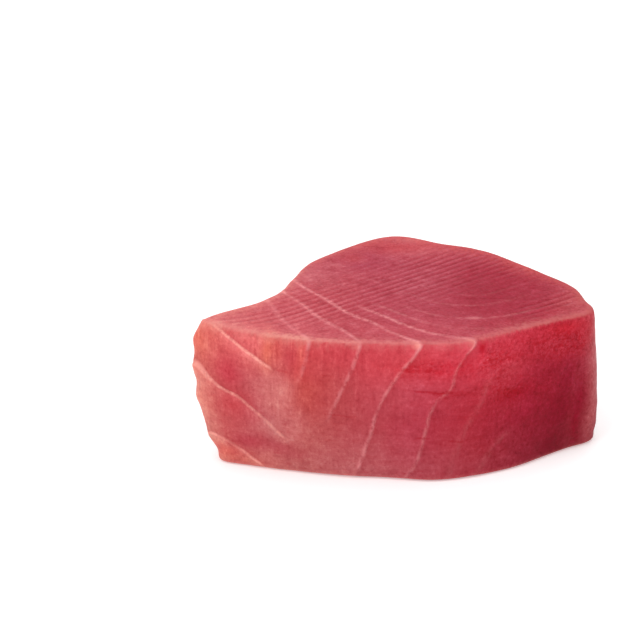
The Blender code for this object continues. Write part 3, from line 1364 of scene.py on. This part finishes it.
    def _cracks(self, coat: Coat) -> None:
        """Draws every crack, darkened with painted shade in its gap.

        Args:
            coat: the flesh so far.
        """
        bench = coat.bench
        place = bench.add("ShaderNodeSeparateXYZ")
        bench.feed(place.inputs[0], bench.place())
        stray = bench.times(bench.less(bench.clouds(self.waver), 0.5), 1.6)
        drop = bench.math("ADD", bench.stored("drop"), stray)
        sides = {side: bench.span(place.outputs[1], 3.0 * side.value, 5.0 * side.value) for side in Side}
        group = crack_group()
        cracks = 0.0
        for crack in CRACKS:
            node = bench.add("ShaderNodeGroup", node_tree=group)
            sizes = (crack.start, crack.end, crack.drop, crack.fall, crack.width, crack.show)
            for socket, value in zip(node.inputs, (place.outputs[0], drop, sides[crack.side], *sizes)):
                bench.feed(socket, value)
            cracks = bench.math("MAXIMUM", cracks, node.outputs[0])
        # Painted shade in the cracks, in the colour of bloody flesh.
        coat.tone(cracks, self.blood_and_crack_shade)
        coat.lift(-0.9, cracks)

    def _cut_edge_glow(self, coat: Coat, before: object) -> None:
        """Paints the edge glow, where light comes through thin flesh: a bright line in a soft, ragged glow.

        Args:
            coat: the flesh so far.
            before: the mask of the bands just before the main sheets.
        """
        bench = coat.bench
        edge_away = bench.stored("edge_away")
        ragged = bench.clouds(self.ragged)
        reach = bench.span(ragged, 0.28, 0.72, 0.55, 1.45)
        inward = bench.times(bench.stored("rim_inward"), reach)
        down = bench.times(bench.stored("rim_down"), reach)
        below = bench.times(edge_away, -1.0)
        bright = bench.times(bench.span(below, 0.8, -0.3), bench.span(edge_away, inward, 0.3))
        over_top = bench.span(edge_away, bench.times(inward, 2.0), 0.0)
        glow = bench.times(bench.span(below, bench.times(down, 2.2), -0.5), over_top)
        rim = bench.math("ADD", bench.times(bright, 0.55), bench.times(glow, 0.40))
        rim = bench.times(rim, bench.stored("rim_show"), bench.span(ragged, 0.30, 0.68, 0.66, 1.18))
        coat.cover(rim, bench.stored("rim_tint", "Color"))

        # Painted glow where each sheet meets the cut edge, just before the sheet.
        near = bench.span(bench.math("ABSOLUTE", edge_away), 1.9, 0.3)
        close = bench.math("POWER", bench.math("MAXIMUM", before, 0.0), 2.5)
        corner = bench.times(near, close, 0.75, bench.stored("node_show"))
        coat.cover(corner, shade(self.tip_tint))
        # A paler line along the foot's edge, in the glow's colours.
        foot = bench.times(bench.span(bench.stored("foot_away"), bench.times(reach, 1.3), 0.1), 0.45)
        coat.cover(foot, bench.stored("foot_tint", "Color"))

    def _wet_surface(self, coat: Coat) -> None:
        """Adds the wet, slightly see-through surface and the material's output.

        Args:
            coat: the flesh so far.
        """
        bench = coat.bench
        shader = bench.add("ShaderNodeBsdfPrincipled")
        bench.feed(shader.inputs["Base Color"], coat.colour)
        bench.feed(shader.inputs["Roughness"], bench.span(bench.clouds(self.wet), 0.3, 0.7, *self.roughness))
        bench.set(shader, {
            "IOR": 1.38,
            "Specular IOR Level": self.gloss,
            "Subsurface Weight": self.scatter,
            "Subsurface Radius": (1.0, 0.28, 0.22),
            "Subsurface Scale": 2.0 * MM,
        })
        bump = bench.add("ShaderNodeBump")
        bench.set(bump, {"Strength": self.bump, "Distance": self.bump_height})
        bench.feed(bump.inputs["Height"], coat.relief)
        bench.feed(shader.inputs["Normal"], bump.outputs["Normal"])
        output = bench.add("ShaderNodeOutputMaterial")
        bench.feed(output.inputs["Surface"], shader.outputs["BSDF"])

    def make(self) -> bpy.types.Material:
        """Builds the material.

        Returns:
            The flesh, which reads the values stored on the mesh.
        """
        material = bpy.data.materials.new("raw_tuna_flesh")
        material.use_nodes = True
        material.node_tree.nodes.clear()
        bench = NodeBench(material.node_tree)
        coat = Coat(bench, bench.stored("flesh_tint", "Color"))
        self._grain_and_fibres(coat)
        self._blood_net(coat)
        group = sheet_group()
        main = self._family(bench, group, "main", 0.36)
        tip = self._family(bench, group, "tip", 0.30)
        self._step_light_and_shade(coat, main, tip)
        self._stroke_shading(coat)
        self._lines(coat, main, tip)
        self._cracks(coat)
        self._cut_edge_glow(coat, main.outputs["Before"])
        self._wet_surface(coat)
        return material


@dataclass(frozen=True)
class Survey:
    """What is measured at each point of the block. Lengths are in millimetres.

    Attributes:
        places: where it is.
        ways: which way the surface faces there.
        height: the block's height, the same for all.
        slant: how level the surface is: 1 where it faces straight up or down.
        edge_away: how far it is from the top's edge, less than 0 on the sides.
        foot_away: how far it is from the foot's edge.
    """

    places: np.ndarray
    ways: np.ndarray
    height: float
    slant: np.ndarray
    edge_away: np.ndarray
    foot_away: np.ndarray

    @property
    def flat(self) -> np.ndarray:
        """1 on the flat faces, 0 on the sides."""
        return ease(self.slant, STEEP, 0.85)

    @property
    def side(self) -> np.ndarray:
        """1 on the sides, 0 on the flat faces."""
        return 1.0 - self.flat

    @property
    def drop(self) -> np.ndarray:
        """How far it lies below the top face."""
        return self.height - self.places[:, 2]

    def values(self, counts: np.ndarray) -> dict[str, np.ndarray]:
        """Names all that a fade can ask for.

        Args:
            counts: the count of the sheets that fade.

        Returns:
            The named values at each point.
        """
        x, y, _ = self.places.T
        return {
            Skin.ALL.value: np.ones(len(x)),
            Skin.FLAT.value: self.flat,
            Skin.SIDE.value: self.side,
            "x": x,
            "y": y,
            "drop": self.drop,
            "raised_drop": self.drop - OUTER_FADE * ease(counts, 4.4, 4.7),
            "past_heart": y - 0.33 * x,
            "edge_away": self.edge_away,
            "foot_away": self.foot_away,
            "count": counts,
        }


@dataclass(frozen=True)
class SheetMarks:
    """Where each point lies among the pale sheets, and how clearly they show there.

    Attributes:
        main: its count among the broad end's sheets.
        tip: its count among the tip's.
        back: its count among the back's.
        main_show: how clearly the nearest of the broad end's or the back's sheets shows.
        tip_show: how clearly the nearest of the tip's does.
        back_show: how clearly the nearest of the back's does.
        on_back: whether the back's sheets take the place of the broad end's.
    """

    main: np.ndarray
    tip: np.ndarray
    back: np.ndarray
    main_show: np.ndarray
    tip_show: np.ndarray
    back_show: np.ndarray
    on_back: np.ndarray


@dataclass(frozen=True)
class Girth:
    """The block's outline at half its height, which tells how far round the side a point lies.

    Attributes:
        hub: the point that the outline is seen from.
        turns: directions from it, in degrees.
        lengths: how far round the outline each of them meets it.
    """

    hub: np.ndarray
    turns: np.ndarray
    lengths: np.ndarray

    @classmethod
    def measure(cls, places: np.ndarray, hub: Sequence[float]) -> "Girth":
        """Measures a block.

        Args:
            places: its points in millimetres from its middle.
            hub: X and Y of the point that the outline is seen from.

        Returns:
            The block's outline.
        """
        turns = np.arange(-180.0, 181.0, 1.0)
        waist = places[np.abs(places[:, 2]) < 2.0, :2] - hub
        toward = np.degrees(np.arctan2(waist[:, 1], waist[:, 0]))
        order = np.argsort(toward)
        reach = np.interp(turns, toward[order], np.linalg.norm(waist[order], axis=1), period=360.0)
        outline = reach[:, None] * np.column_stack((np.cos(np.radians(turns)), np.sin(np.radians(turns))))
        lengths = np.append(0.0, np.cumsum(np.linalg.norm(np.diff(outline, axis=0), axis=1)))
        return cls(np.asarray(hub), turns, lengths)

    def along(self, points: np.ndarray) -> np.ndarray:
        """How far round the side each point lies."""
        turn = np.degrees(np.arctan2(points[:, 1] - self.hub[1], points[:, 0] - self.hub[0]))
        return np.interp(turn, self.turns, self.lengths)


@dataclass
class TunaLoin:
    """The one piece: a block of raw flesh, cut flat above and below.

    Attributes:
        cell: the size of the mesh's faces.
        cylinder_sides: the sides of the cylinder that it is shaped from.
        side_rows: how often that cylinder is cut across before it is fitted.
        cap_rings: the rings inset into each of its ends.
        oversize: how much larger than the block it starts.
        main_sheets: the pale sheets of the broad end.
        tip_sheets: the pale sheets of the tip.
        back_sheets: the pale sheets that show on the back.
        sheet_drift: how far, in millimetres, the sheets are led astray.
        crack_depth: how deep the cracks are cut.
        hub: X and Y of the point that the side is laid out round, in millimetres from the block's middle.
        layout_margin: the gap between the parts of the layout, in millimetres.
        strokes: the knife's strokes on the flat faces.
        colours: the broad colours.
        finish: the flesh material.
    """

    cell: float = 0.56 * MM
    cylinder_sides: int = 144
    side_rows: int = 24
    cap_rings: int = 12
    oversize: float = 1.3
    main_sheets: SheetFamily = MAIN_SHEETS
    tip_sheets: SheetFamily = TIP_SHEETS
    back_sheets: SheetFamily = BACK_SHEETS
    sheet_drift: float = 0.5
    crack_depth: float = 0.15 * MM
    hub: tuple[float, float] = (-18.0, -12.0)
    layout_margin: float = 4.0
    strokes: KnifeStrokes = field(default_factory=KnifeStrokes)
    colours: FleshColours = field(default_factory=FleshColours)
    finish: FleshFinish = field(default_factory=FleshFinish)

    def __post_init__(self) -> None:
        """Takes the block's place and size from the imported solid."""
        low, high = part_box(NODE_NAME)
        self.middle = (low + high) / 2.0
        self.size = high - low
        self.height = self.size.z

    def merged_core(self) -> bpy.types.Object:
        """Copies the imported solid, joins the copy's loose faces and smooths it.

        Returns:
            The copy, which only guides the fitting.
        """
        source = frame["nodes"][NODE_NAME]
        core = source.copy()
        core.data = source.data.copy()
        core.name = "fitting_core"
        core.parent = None
        bpy.context.scene.collection.objects.link(core)
        lone(core)
        bpy.ops.object.mode_set(mode="EDIT")
        bpy.ops.mesh.select_all(action="SELECT")
        bpy.ops.mesh.remove_doubles(threshold=0.01 * MM)
        angle = math.radians(60.0)
        bpy.ops.mesh.tris_convert_to_quads(face_threshold=angle, shape_threshold=angle)
        bpy.ops.object.mode_set(mode="OBJECT")
        apply_modifier(core, "SUBSURF", levels=1, render_levels=1)
        return core

    def rough_block(self) -> bpy.types.Object:
        """Shapes a cylinder a little larger than the block: rings on its ends, rows up its side.

        Returns:
            The rough block.
        """
        bpy.ops.object.select_all(action="DESELECT")
        bpy.ops.mesh.primitive_cylinder_add(
            vertices=self.cylinder_sides, radius=0.5, depth=1.0, end_fill_type="NGON", location=self.middle
        )
        block = bpy.context.active_object
        block.name = block.data.name = "tuna_flesh"
        bpy.ops.object.mode_set(mode="EDIT")
        bpy.ops.mesh.select_all(action="SELECT")
        bpy.ops.transform.resize(value=tuple(self.size * self.oversize))
        bpy.ops.object.mode_set(mode="OBJECT")
        ring = self.oversize * self.size.y / 2.0 / (self.cap_rings + 1)
        for end in CutFace:
            self._select(block, faces=lambda way, sign=end.value: way.z * sign > 0.9)
            bpy.ops.object.mode_set(mode="EDIT")
            for _ in range(self.cap_rings):
                bpy.ops.mesh.inset(thickness=ring, depth=0.0)
            bpy.ops.mesh.poke()
            bpy.ops.object.mode_set(mode="OBJECT")
        self._select(block, edges=lambda start, end: abs(start.z - end.z) > self.height * 0.9)
        bpy.ops.object.mode_set(mode="EDIT")
        bpy.ops.mesh.subdivide(number_cuts=self.side_rows)
        bpy.ops.mesh.select_all(action="DESELECT")
        bpy.ops.object.mode_set(mode="OBJECT")
        bpy.ops.object.transform_apply(location=True, rotation=True, scale=True)
        return block

    @staticmethod
    def _select(
        block: bpy.types.Object,
        faces: Callable[[Vector], bool] = lambda way: False,
        edges: Callable[[Vector, Vector], bool] = lambda start, end: False,
    ) -> None:
        """Selects only the faces and the edges that two tests want.

        Args:
            block: the rough block.
            faces: the test of a face, given the way that it faces.
            edges: the test of an edge, given its two end points.
        """
        lone(block)
        mesh = block.data
        for vertex in mesh.vertices:
            vertex.select = False
        for edge in mesh.edges:
            edge.select = edges(*(mesh.vertices[index].co for index in edge.vertices))
        for face in mesh.polygons:
            face.select = faces(face.normal)

    def fit(self, block: bpy.types.Object, core: bpy.types.Object) -> None:
        """Draws the rough block onto the core and gives it even, fine faces.

        Args:
            block: the rough block.
            core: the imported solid's smoothed copy.
        """
        apply_modifier(block, "SHRINKWRAP", target=core, wrap_method="NEAREST_SURFACEPOINT")
        apply_modifier(block, "REMESH", mode="VOXEL", voxel_size=self.cell, use_smooth_shade=True)
        apply_modifier(block, "SHRINKWRAP", target=core, wrap_method="NEAREST_SURFACEPOINT")
        apply_modifier(block, "SMOOTH", factor=0.5, iterations=3)
        bpy.data.objects.remove(core)

    @staticmethod
    def _points(block: bpy.types.Object) -> np.ndarray:
        """The block's points in millimetres, one in a row."""
        return read_all(block.data.vertices, "co", 3) / MM

    @staticmethod
    def _normals(block: bpy.types.Object) -> np.ndarray:
        """The way that the surface faces at each of the block's points."""
        return read_all(block.data.vertices, "normal", 3)

    @staticmethod
    def _store(block: bpy.types.Object, **stored: np.ndarray) -> None:
        """Stores values, or linear colours, at the points for the material to read.

        Args:
            block: the fitted block.
            stored: the values by their names.
        """
        for name, values in stored.items():
            kind, field_name = "FLOAT", "value"
            if values.ndim == 2:
                kind, field_name = "FLOAT_COLOR", "color"
                values = np.column_stack((values, np.ones(len(values))))
            data = block.data.attributes.new(name, kind, "POINT").data
            data.foreach_set(field_name, values.astype(np.float32).ravel())

    def pull(self, block: bpy.types.Object) -> None:
        """Pulls the fitted block's edges and corners a little, and makes its sides a little uneven.

        Args:
            block: the fitted block.
        """
        places = self._points(block)
        ways = self._normals(block)
        level = ways * (1.0, 1.0, 0.0)
        shifts = sum(pull.shifts(places) for pull in PULLS)
        uneven = 0.22 * cloud(places, 11.0, 61.0, 2) + 0.10 * cloud(places, 3.6, 67.0, 2)
        moved = (places + shifts + level * uneven[:, None]) * MM
        block.data.vertices.foreach_set("co", moved.ravel())
        block.data.update()

    def work(
        self, block: bpy.types.Object, name: str, weights: np.ndarray, depth: float, way: Relief
    ) -> None:
        """Moves the surface in or out where the weights say.

        Args:
            block: the fitted block.
            name: what the marks are.
            weights: 0 to 1 for each point.
            depth: how far a full weight moves a point.
            way: in or out.
        """
        group = block.vertex_groups.new(name=name)
        for index in np.flatnonzero(weights > 0.01):
            group.add([int(index)], float(weights[index]), "REPLACE")
        strength = depth * way.value
        apply_modifier(
            block, "DISPLACE", vertex_group=name, strength=strength, mid_level=0.0, direction="NORMAL"
        )
        block.vertex_groups.clear()

    @staticmethod
    def _edge_distance(places: np.ndarray, on_edge: np.ndarray) -> np.ndarray:
        """How far each point is from the nearest point of an edge, in millimetres.

        Args:
            places: the block's points.
            on_edge: which of them lie on the edge.

        Returns:
            The distances.
        """
        rows = np.flatnonzero(on_edge)
        tree = kdtree.KDTree(len(rows))
        for row in rows:
            tree.insert(places[row], int(row))
        tree.balance()
        return np.array([tree.find(place)[2] for place in places])

    def survey(self, block: bpy.types.Object) -> Survey:
        """Measures the block's surface point by point.

        Args:
            block: the fitted block.

        Returns:
            What was measured.
        """
        places, ways = self._points(block), self._normals(block)
        height = self.height / MM
        slant = np.abs(ways[:, 2])
        tilted = (slant > 0.58) & (slant < 0.82)
        edge_away = self._edge_distance(places, tilted & (height - places[:, 2] < 3.0))
        edge_away *= np.where(slant > 0.70, 1.0, -1.0)
        foot_away = self._edge_distance(places, tilted & (places[:, 2] < 3.0))
        return Survey(places, ways, height, slant, edge_away, foot_away)

    def find_sheets(self, survey: Survey) -> SheetMarks:
        """Works out where each point lies among the pale sheets, and how clearly they show there.

        Args:
            survey: the block's points.

        Returns:
            What was found.
        """
        x, y, _ = survey.places.T
        families = (self.main_sheets, self.tip_sheets, self.back_sheets)
        bent = survey.places + self.sheet_drift * drifts(survey.places, 20.0, (1.3, 7.9, 13.1))
        counts = [family.counts(bent, survey.height) for family in families]
        shows = [family.shows(survey.values(count)) for family, count in zip(families, counts)]
        main, tip, back = counts
        main_show, tip_show, back_show = shows
        broken = 1.0 - 0.5 * ease(cloud(survey.places, 10.0, 31.0), 0.0, 0.6)
        broken += (1.0 - broken) * survey.side * ease(main, 3.3, 3.6)
        back_show = back_show * broken
        on_back = (y > -2.0) & (x > -24.0) & (survey.slant < STEEP)
        main_show = np.where(on_back, 0.8 * back_show, main_show * broken)
        return SheetMarks(main, tip, back, main_show, tip_show, back_show, on_back)

    def _store_sheets(self, block: bpy.types.Object, survey: Survey, sheets: SheetMarks) -> None:
        """Stores the count, spacing, strength and width of the sheets at each point.

        Args:
            block: the fitted block.
            survey: its points.
            sheets: where its points lie among the sheets.
        """
        spacing, tip_spacing, back_spacing = (
            family.spacing(survey.places, survey.ways, survey.height)
            for family in (self.main_sheets, self.tip_sheets, self.back_sheets)
        )
        broad = np.where(sheets.on_back, 0.0, survey.side * ease(sheets.main, 3.35, 3.7))
        far_left = ease(survey.places[:, 0] + 4.0 * ease(sheets.tip, 1.6, 1.8), -51.0, -55.0)
        self._store(
            block,
            main_count=np.where(sheets.on_back, sheets.back, sheets.main),
            main_spacing=np.where(sheets.on_back, back_spacing, spacing),
            main_show=sheets.main_show,
            main_width=0.95 + 0.20 * survey.flat + broad,
            tip_count=sheets.tip,
            tip_spacing=tip_spacing,
            tip_show=sheets.tip_show,
            tip_width=0.66 + 0.9 * far_left,
        )

    def _store_flesh(self, block: bpy.types.Object, survey: Survey) -> None:
        """Stores each point's place on the block and its broad colour, and how its flesh is.

        Args:
            block: the fitted block.
            survey: its points.
        """
        places, side, drop = survey.places, survey.side, survey.drop
        x = places[:, 0]
        uneven = cloud(places, 12.0, 71.0)
        fibres = 0.12 + 0.55 * ease(x, 12.0, -8.0) + 0.35 * uneven + STREAKY.weights(places)
        fewer = (1.0 - 0.5 * ease(drop, 20.0, 30.0)) * (1.0 - 0.9 * ease(x, 22.0, 36.0))
        bloody = sum(spot.weights(places) for spot in BLOODY) + 0.22 * ease(x, 0.0, 30.0)
        self._store(
            block,
            flat_face=survey.flat,
            drop=drop,
            edge_away=survey.edge_away,
            foot_away=survey.foot_away,
            flesh_tint=self.colours.paint(places, survey.flat, survey.height),
            grainy=1.0 + (0.35 + 0.65 * side) * ease(x, 14.0, 32.0),
            fibres=side * np.clip(fibres, 0.0, 1.3) * fewer,
            netted=side * np.clip(bloody * (0.85 + 0.6 * uneven), 0.0, 1.0),
        )

    def _store_strokes(self, block: bpy.types.Object, survey: Survey, main: np.ndarray) -> np.ndarray:
        """Stores where the knife's strokes lie and how clearly they show.

        Args:
            block: the fitted block.
            survey: its points.
            main: the count of the main sheets at each.

        Returns:
            How deep in a stroke each point is, 0 to 1.
        """
        phase = self.strokes.phase(survey.places, main)
        show = survey.flat * self.strokes.shows(survey.places)
        show *= ease(np.abs(survey.edge_away), 0.6, 3.6)
        low = survey.places[:, 2] < survey.height / 2.0
        show *= np.where(low, ease(survey.foot_away, 0.6, 3.6), 1.0)
        self._store(block, strokes=phase, stroke_show=show)
        return ease(np.cos(2.0 * math.pi * phase), 0.3, -1.0) * np.clip(show, 0.0, 1.0)

    def _store_rim_glow(self, block: bpy.types.Object, survey: Survey, main: np.ndarray) -> None:
        """Stores the painted glow along the cut edge all the way round.

        Args:
            block: the fitted block.
            survey: its points.
            main: the count of the main sheets at each.
        """
        x, y, _ = survey.places.T
        toward = np.degrees(np.arctan2(y, x))
        toward = np.where(toward < RIM_GLOW[0].toward, toward + 360.0, toward)
        angles = [stretch.toward for stretch in RIM_GLOW]
        inward, down, show = (
            np.interp(toward, angles, [getattr(stretch, name) for stretch in RIM_GLOW])
            for name in ("inward", "down", "show")
        )
        # The glow is painted stronger just before each sheet on the front, and onto the sheets near the edge.
        part = main - np.floor(main)
        front = ease(y, -14.0, -22.0) * ease(main, 3.3, 3.05)
        tint = self.colours.read_row([stretch.tint for stretch in RIM_GLOW], toward, angles)
        self._store(
            block,
            rim_inward=inward,
            rim_down=down,
            rim_show=show * (1.0 + front * (0.35 * part**2 - 0.15)),
            rim_tint=linear(tint),
            foot_tint=linear(0.9 * tint + (10.0, 2.0, 2.0)),
            node_show=np.interp(toward, (150.0, 165.0, 300.0, 312.0), (0.0, 1.0, 1.0, 0.0)),
        )

    def _flakes(self, survey: Survey, sheets: SheetMarks) -> np.ndarray:
        """How far the surface stands proud at the steps between the flakes.

        Args:
            survey: the block's points.
            sheets: where they lie among the sheets.

        Returns:
            The height at each point, in millimetres.
        """
        near_top = 0.75 + 0.9 * ease(survey.drop, 8.0, 0.0)
        in_front = ease(survey.places[:, 1], -10.0, -20.0)
        steps = self.main_sheets.steps(sheets.main) * near_top * ease(sheets.main_show, 0.02, 0.2) * in_front
        steps += self.back_sheets.steps(sheets.back) * ease(sheets.back_show, 0.02, 0.2) * sheets.on_back
        on_tip = ease(sheets.tip_show, 0.02, 0.3) * ease(sheets.tip, 2.4, 1.9)
        steps += self.tip_sheets.steps(2.0 - sheets.tip) * on_tip
        return steps * survey.side * ease(survey.foot_away, 0.0, 2.0)

    def mark(self, block: bpy.types.Object) -> None:
        """Works out what each point belongs to, stores it, and works the marks into the surface.

        Args:
            block: the fitted block.
        """
        survey = self.survey(block)
        sheets = self.find_sheets(survey)
        self._store_flesh(block, survey)
        self._store_sheets(block, survey, sheets)
        self._store_rim_glow(block, survey, sheets.main)
        strokes = self._store_strokes(block, survey, sheets.main)
        cracks = np.max([crack.weights(survey.places, survey.drop) for crack in CRACKS], axis=0)
        self.work(block, "knife strokes", strokes, self.strokes.depth, Relief.CUT)
        self.work(block, "flakes", self._flakes(survey, sheets), 1.0 * MM, Relief.PROUD)
        self.work(block, "cracks", cracks * survey.side, self.crack_depth, Relief.CUT)

    def lay_out(self, block: bpy.types.Object) -> None:
        """Lays the surface out flat: the side in two strips, and the top and the underside beyond them.

        Args:
            block: the finished block.
        """
        mesh = block.data
        middle = np.array(self.middle) / MM
        places = self._points(block) - middle
        corner = places[read_all(mesh.loops, "vertex_index", 1, np.int32)[:, 0]]
        totals = read_all(mesh.polygons, "loop_total", 1, np.int32)[:, 0]
        centre = np.repeat(read_all(mesh.polygons, "center", 3) / MM - middle, totals, axis=0)
        length, depth, height = np.array(self.size) / MM
        margin = self.layout_margin

        girth = Girth.measure(places, self.hub)
        half = girth.lengths[-1] / 2.0
        here, there = girth.along(corner), girth.along(centre)
        here += 2.0 * half * np.round((there - here) / (2.0 * half))
        second = there > half
        up = corner[:, 2] + height / 2.0 + (height + margin) * second
        flat = np.column_stack((here - half * second, up))
        beyond = 2.0 * (height + margin) + length / 2.0
        top = centre[:, 2] > height / 2.0 - 1.0
        flat[top] = np.column_stack((depth / 2.0 - corner[top, 1], beyond + corner[top, 0]))
        foot = centre[:, 2] < 1.0 - height / 2.0
        flat[foot] = np.column_stack((1.5 * depth + margin + corner[foot, 1], beyond + corner[foot, 0]))
        flat = (flat + margin) / (beyond + length / 2.0 + 2.0 * margin)
        mesh.uv_layers.new(name=BAKE_LAYER).data.foreach_set("uv", flat.astype(np.float32).ravel())

    def build(self) -> bpy.types.Object:
        """Makes, marks and dresses the block, hangs it on its body and hides the imported part.

        Returns:
            The finished piece.
        """
        core = self.merged_core()
        block = self.rough_block()
        self.fit(block, core)
        self.pull(block)
        self.mark(block)
        self.lay_out(block)
        block.data.materials.clear()
        block.data.materials.append(self.finish.make())
        lone(block)
        bpy.ops.object.shade_smooth()
        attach(block, BODY_NAME)
        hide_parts(NODE_NAME)
        return block


@dataclass(frozen=True)
class SoftLamp:
    """A large soft lamp.

    Attributes:
        name: what it does.
        place: where it stands, in metres.
        aim: the point that it faces.
        width: the side of its square face.
        power: its power in watts.
    """

    name: str
    place: Place
    aim: Place
    width: float
    power: float

    def hang(self) -> bpy.types.Object:
        """Puts the lamp up and turns it to its aim.

        Returns:
            The lamp.
        """
        data = bpy.data.lights.new(self.name, "AREA")
        data.shape = "SQUARE"
        data.size = self.width
        data.energy = self.power
        lamp = bpy.data.objects.new(self.name, data)
        bpy.context.scene.collection.objects.link(lamp)
        lamp.location = self.place
        lamp.rotation_euler = (Vector(self.aim) - Vector(self.place)).to_track_quat("-Z", "Y").to_euler()
        return lamp


@dataclass
class Studio:
    """A white table, soft lamps and the camera.

    Attributes:
        camera_place: where the camera stands, in metres.
        camera_elevation: how steeply it looks down, in degrees.
        lens: its focal length in millimetres.
        floor_side: the side of the square table top.
        sky: how strongly the room lights the block from all around.
        lamps: the soft lamps.
    """

    camera_place: Place = (-0.0220, -0.4653, 0.2487)
    camera_elevation: float = 25.0
    lens: float = 100.0
    floor_side: float = 6.0
    sky: float = 0.50
    lamps: tuple[SoftLamp, ...] = (
        SoftLamp("softbox_above", (0.0, 0.1, 1.3), (0.0, 0.0, 0.0), 1.6, 10.0),
        SoftLamp("key_from_left", (-0.9, -0.7, 1.1), (0.0, 0.0, 0.02), 0.9, 7.0),
        SoftLamp("fill_from_right", (1.1, -0.3, 0.7), (0.0, 0.0, 0.02), 0.9, 2.0),
    )

    def floor_finish(self) -> bpy.types.Material:
        """A plain white table top. It glows a little near the block and fully far from it.

        Returns:
            The material.
        """
        material = bpy.data.materials.new("white_table")
        material.use_nodes = True
        bench = NodeBench(material.node_tree)
        shader = material.node_tree.nodes["Principled BSDF"]
        bench.set(shader, {
            "Base Color": (0.90, 0.90, 0.90, 1.0),
            "Roughness": 0.6,
            "Specular IOR Level": 0.2,
            "Emission Color": (1.0, 1.0, 1.0, 1.0),
        })
        away = bench.add("ShaderNodeVectorMath", operation="LENGTH")
        bench.feed(away.inputs[0], bench.place())
        glow = bench.span(away.outputs["Value"], 120.0, 700.0, 0.30, 1.0)
        bench.feed(shader.inputs["Emission Strength"], glow)
        return material

    def lay_floor(self) -> bpy.types.Object:
        """Lays the table top just under the block.

        Returns:
            The table top.
        """
        bpy.ops.object.select_all(action="DESELECT")
        bpy.ops.mesh.primitive_plane_add(size=self.floor_side, location=(0.0, 0.0, -0.02 * MM))
        floor = bpy.context.active_object
        floor.name = "table_top"
        bpy.ops.object.transform_apply(location=True, rotation=True, scale=True)
        floor.data.materials.append(self.floor_finish())
        return floor

    def light(self) -> None:
        """Lights the whole room evenly and hangs the lamps."""
        world = bpy.data.worlds.new("white_room")
        world.use_nodes = True
        bench = NodeBench(world.node_tree)
        background = world.node_tree.nodes["Background"]
        bench.set(background, {"Color": (1.0, 1.0, 1.0, 1.0)})
        seen = bench.add("ShaderNodeLightPath").outputs["Is Camera Ray"]
        bench.feed(background.inputs["Strength"], bench.span(seen, 0.0, 1.0, self.sky, 1.0))
        bpy.context.scene.world = world
        for lamp in self.lamps:
            lamp.hang()

    def set_camera(self) -> bpy.types.Object:
        """Stands the camera in front of the block, looking a little down.

        Returns:
            The camera.
        """
        data = bpy.data.cameras.new("front_camera")
        data.lens = self.lens
        data.sensor_width = 36.0
        data.clip_start = 0.01
        camera = bpy.data.objects.new("front_camera", data)
        bpy.context.scene.collection.objects.link(camera)
        camera.location = self.camera_place
        camera.rotation_euler = (math.radians(90.0 - self.camera_elevation), 0.0, 0.0)
        bpy.context.scene.camera = camera
        return camera

    def build(self) -> None:
        """Sets up the table, the light and the camera."""
        self.lay_floor()
        self.light()
        self.set_camera()
        bpy.context.scene.view_settings.view_transform = "Standard"


def write_sizes() -> None:
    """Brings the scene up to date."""
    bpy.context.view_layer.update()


def main() -> None:
    """Builds the studio and the loin, and reports each."""
    logging.basicConfig(level=logging.INFO, format="%(name)s: %(message)s")
    Studio().build()
    LOG.info("studio ready")
    block = TunaLoin().build()
    LOG.info("%s: %d faces", block.name, len(block.data.polygons))
    write_sizes()


if __name__ == "__main__":
    main()
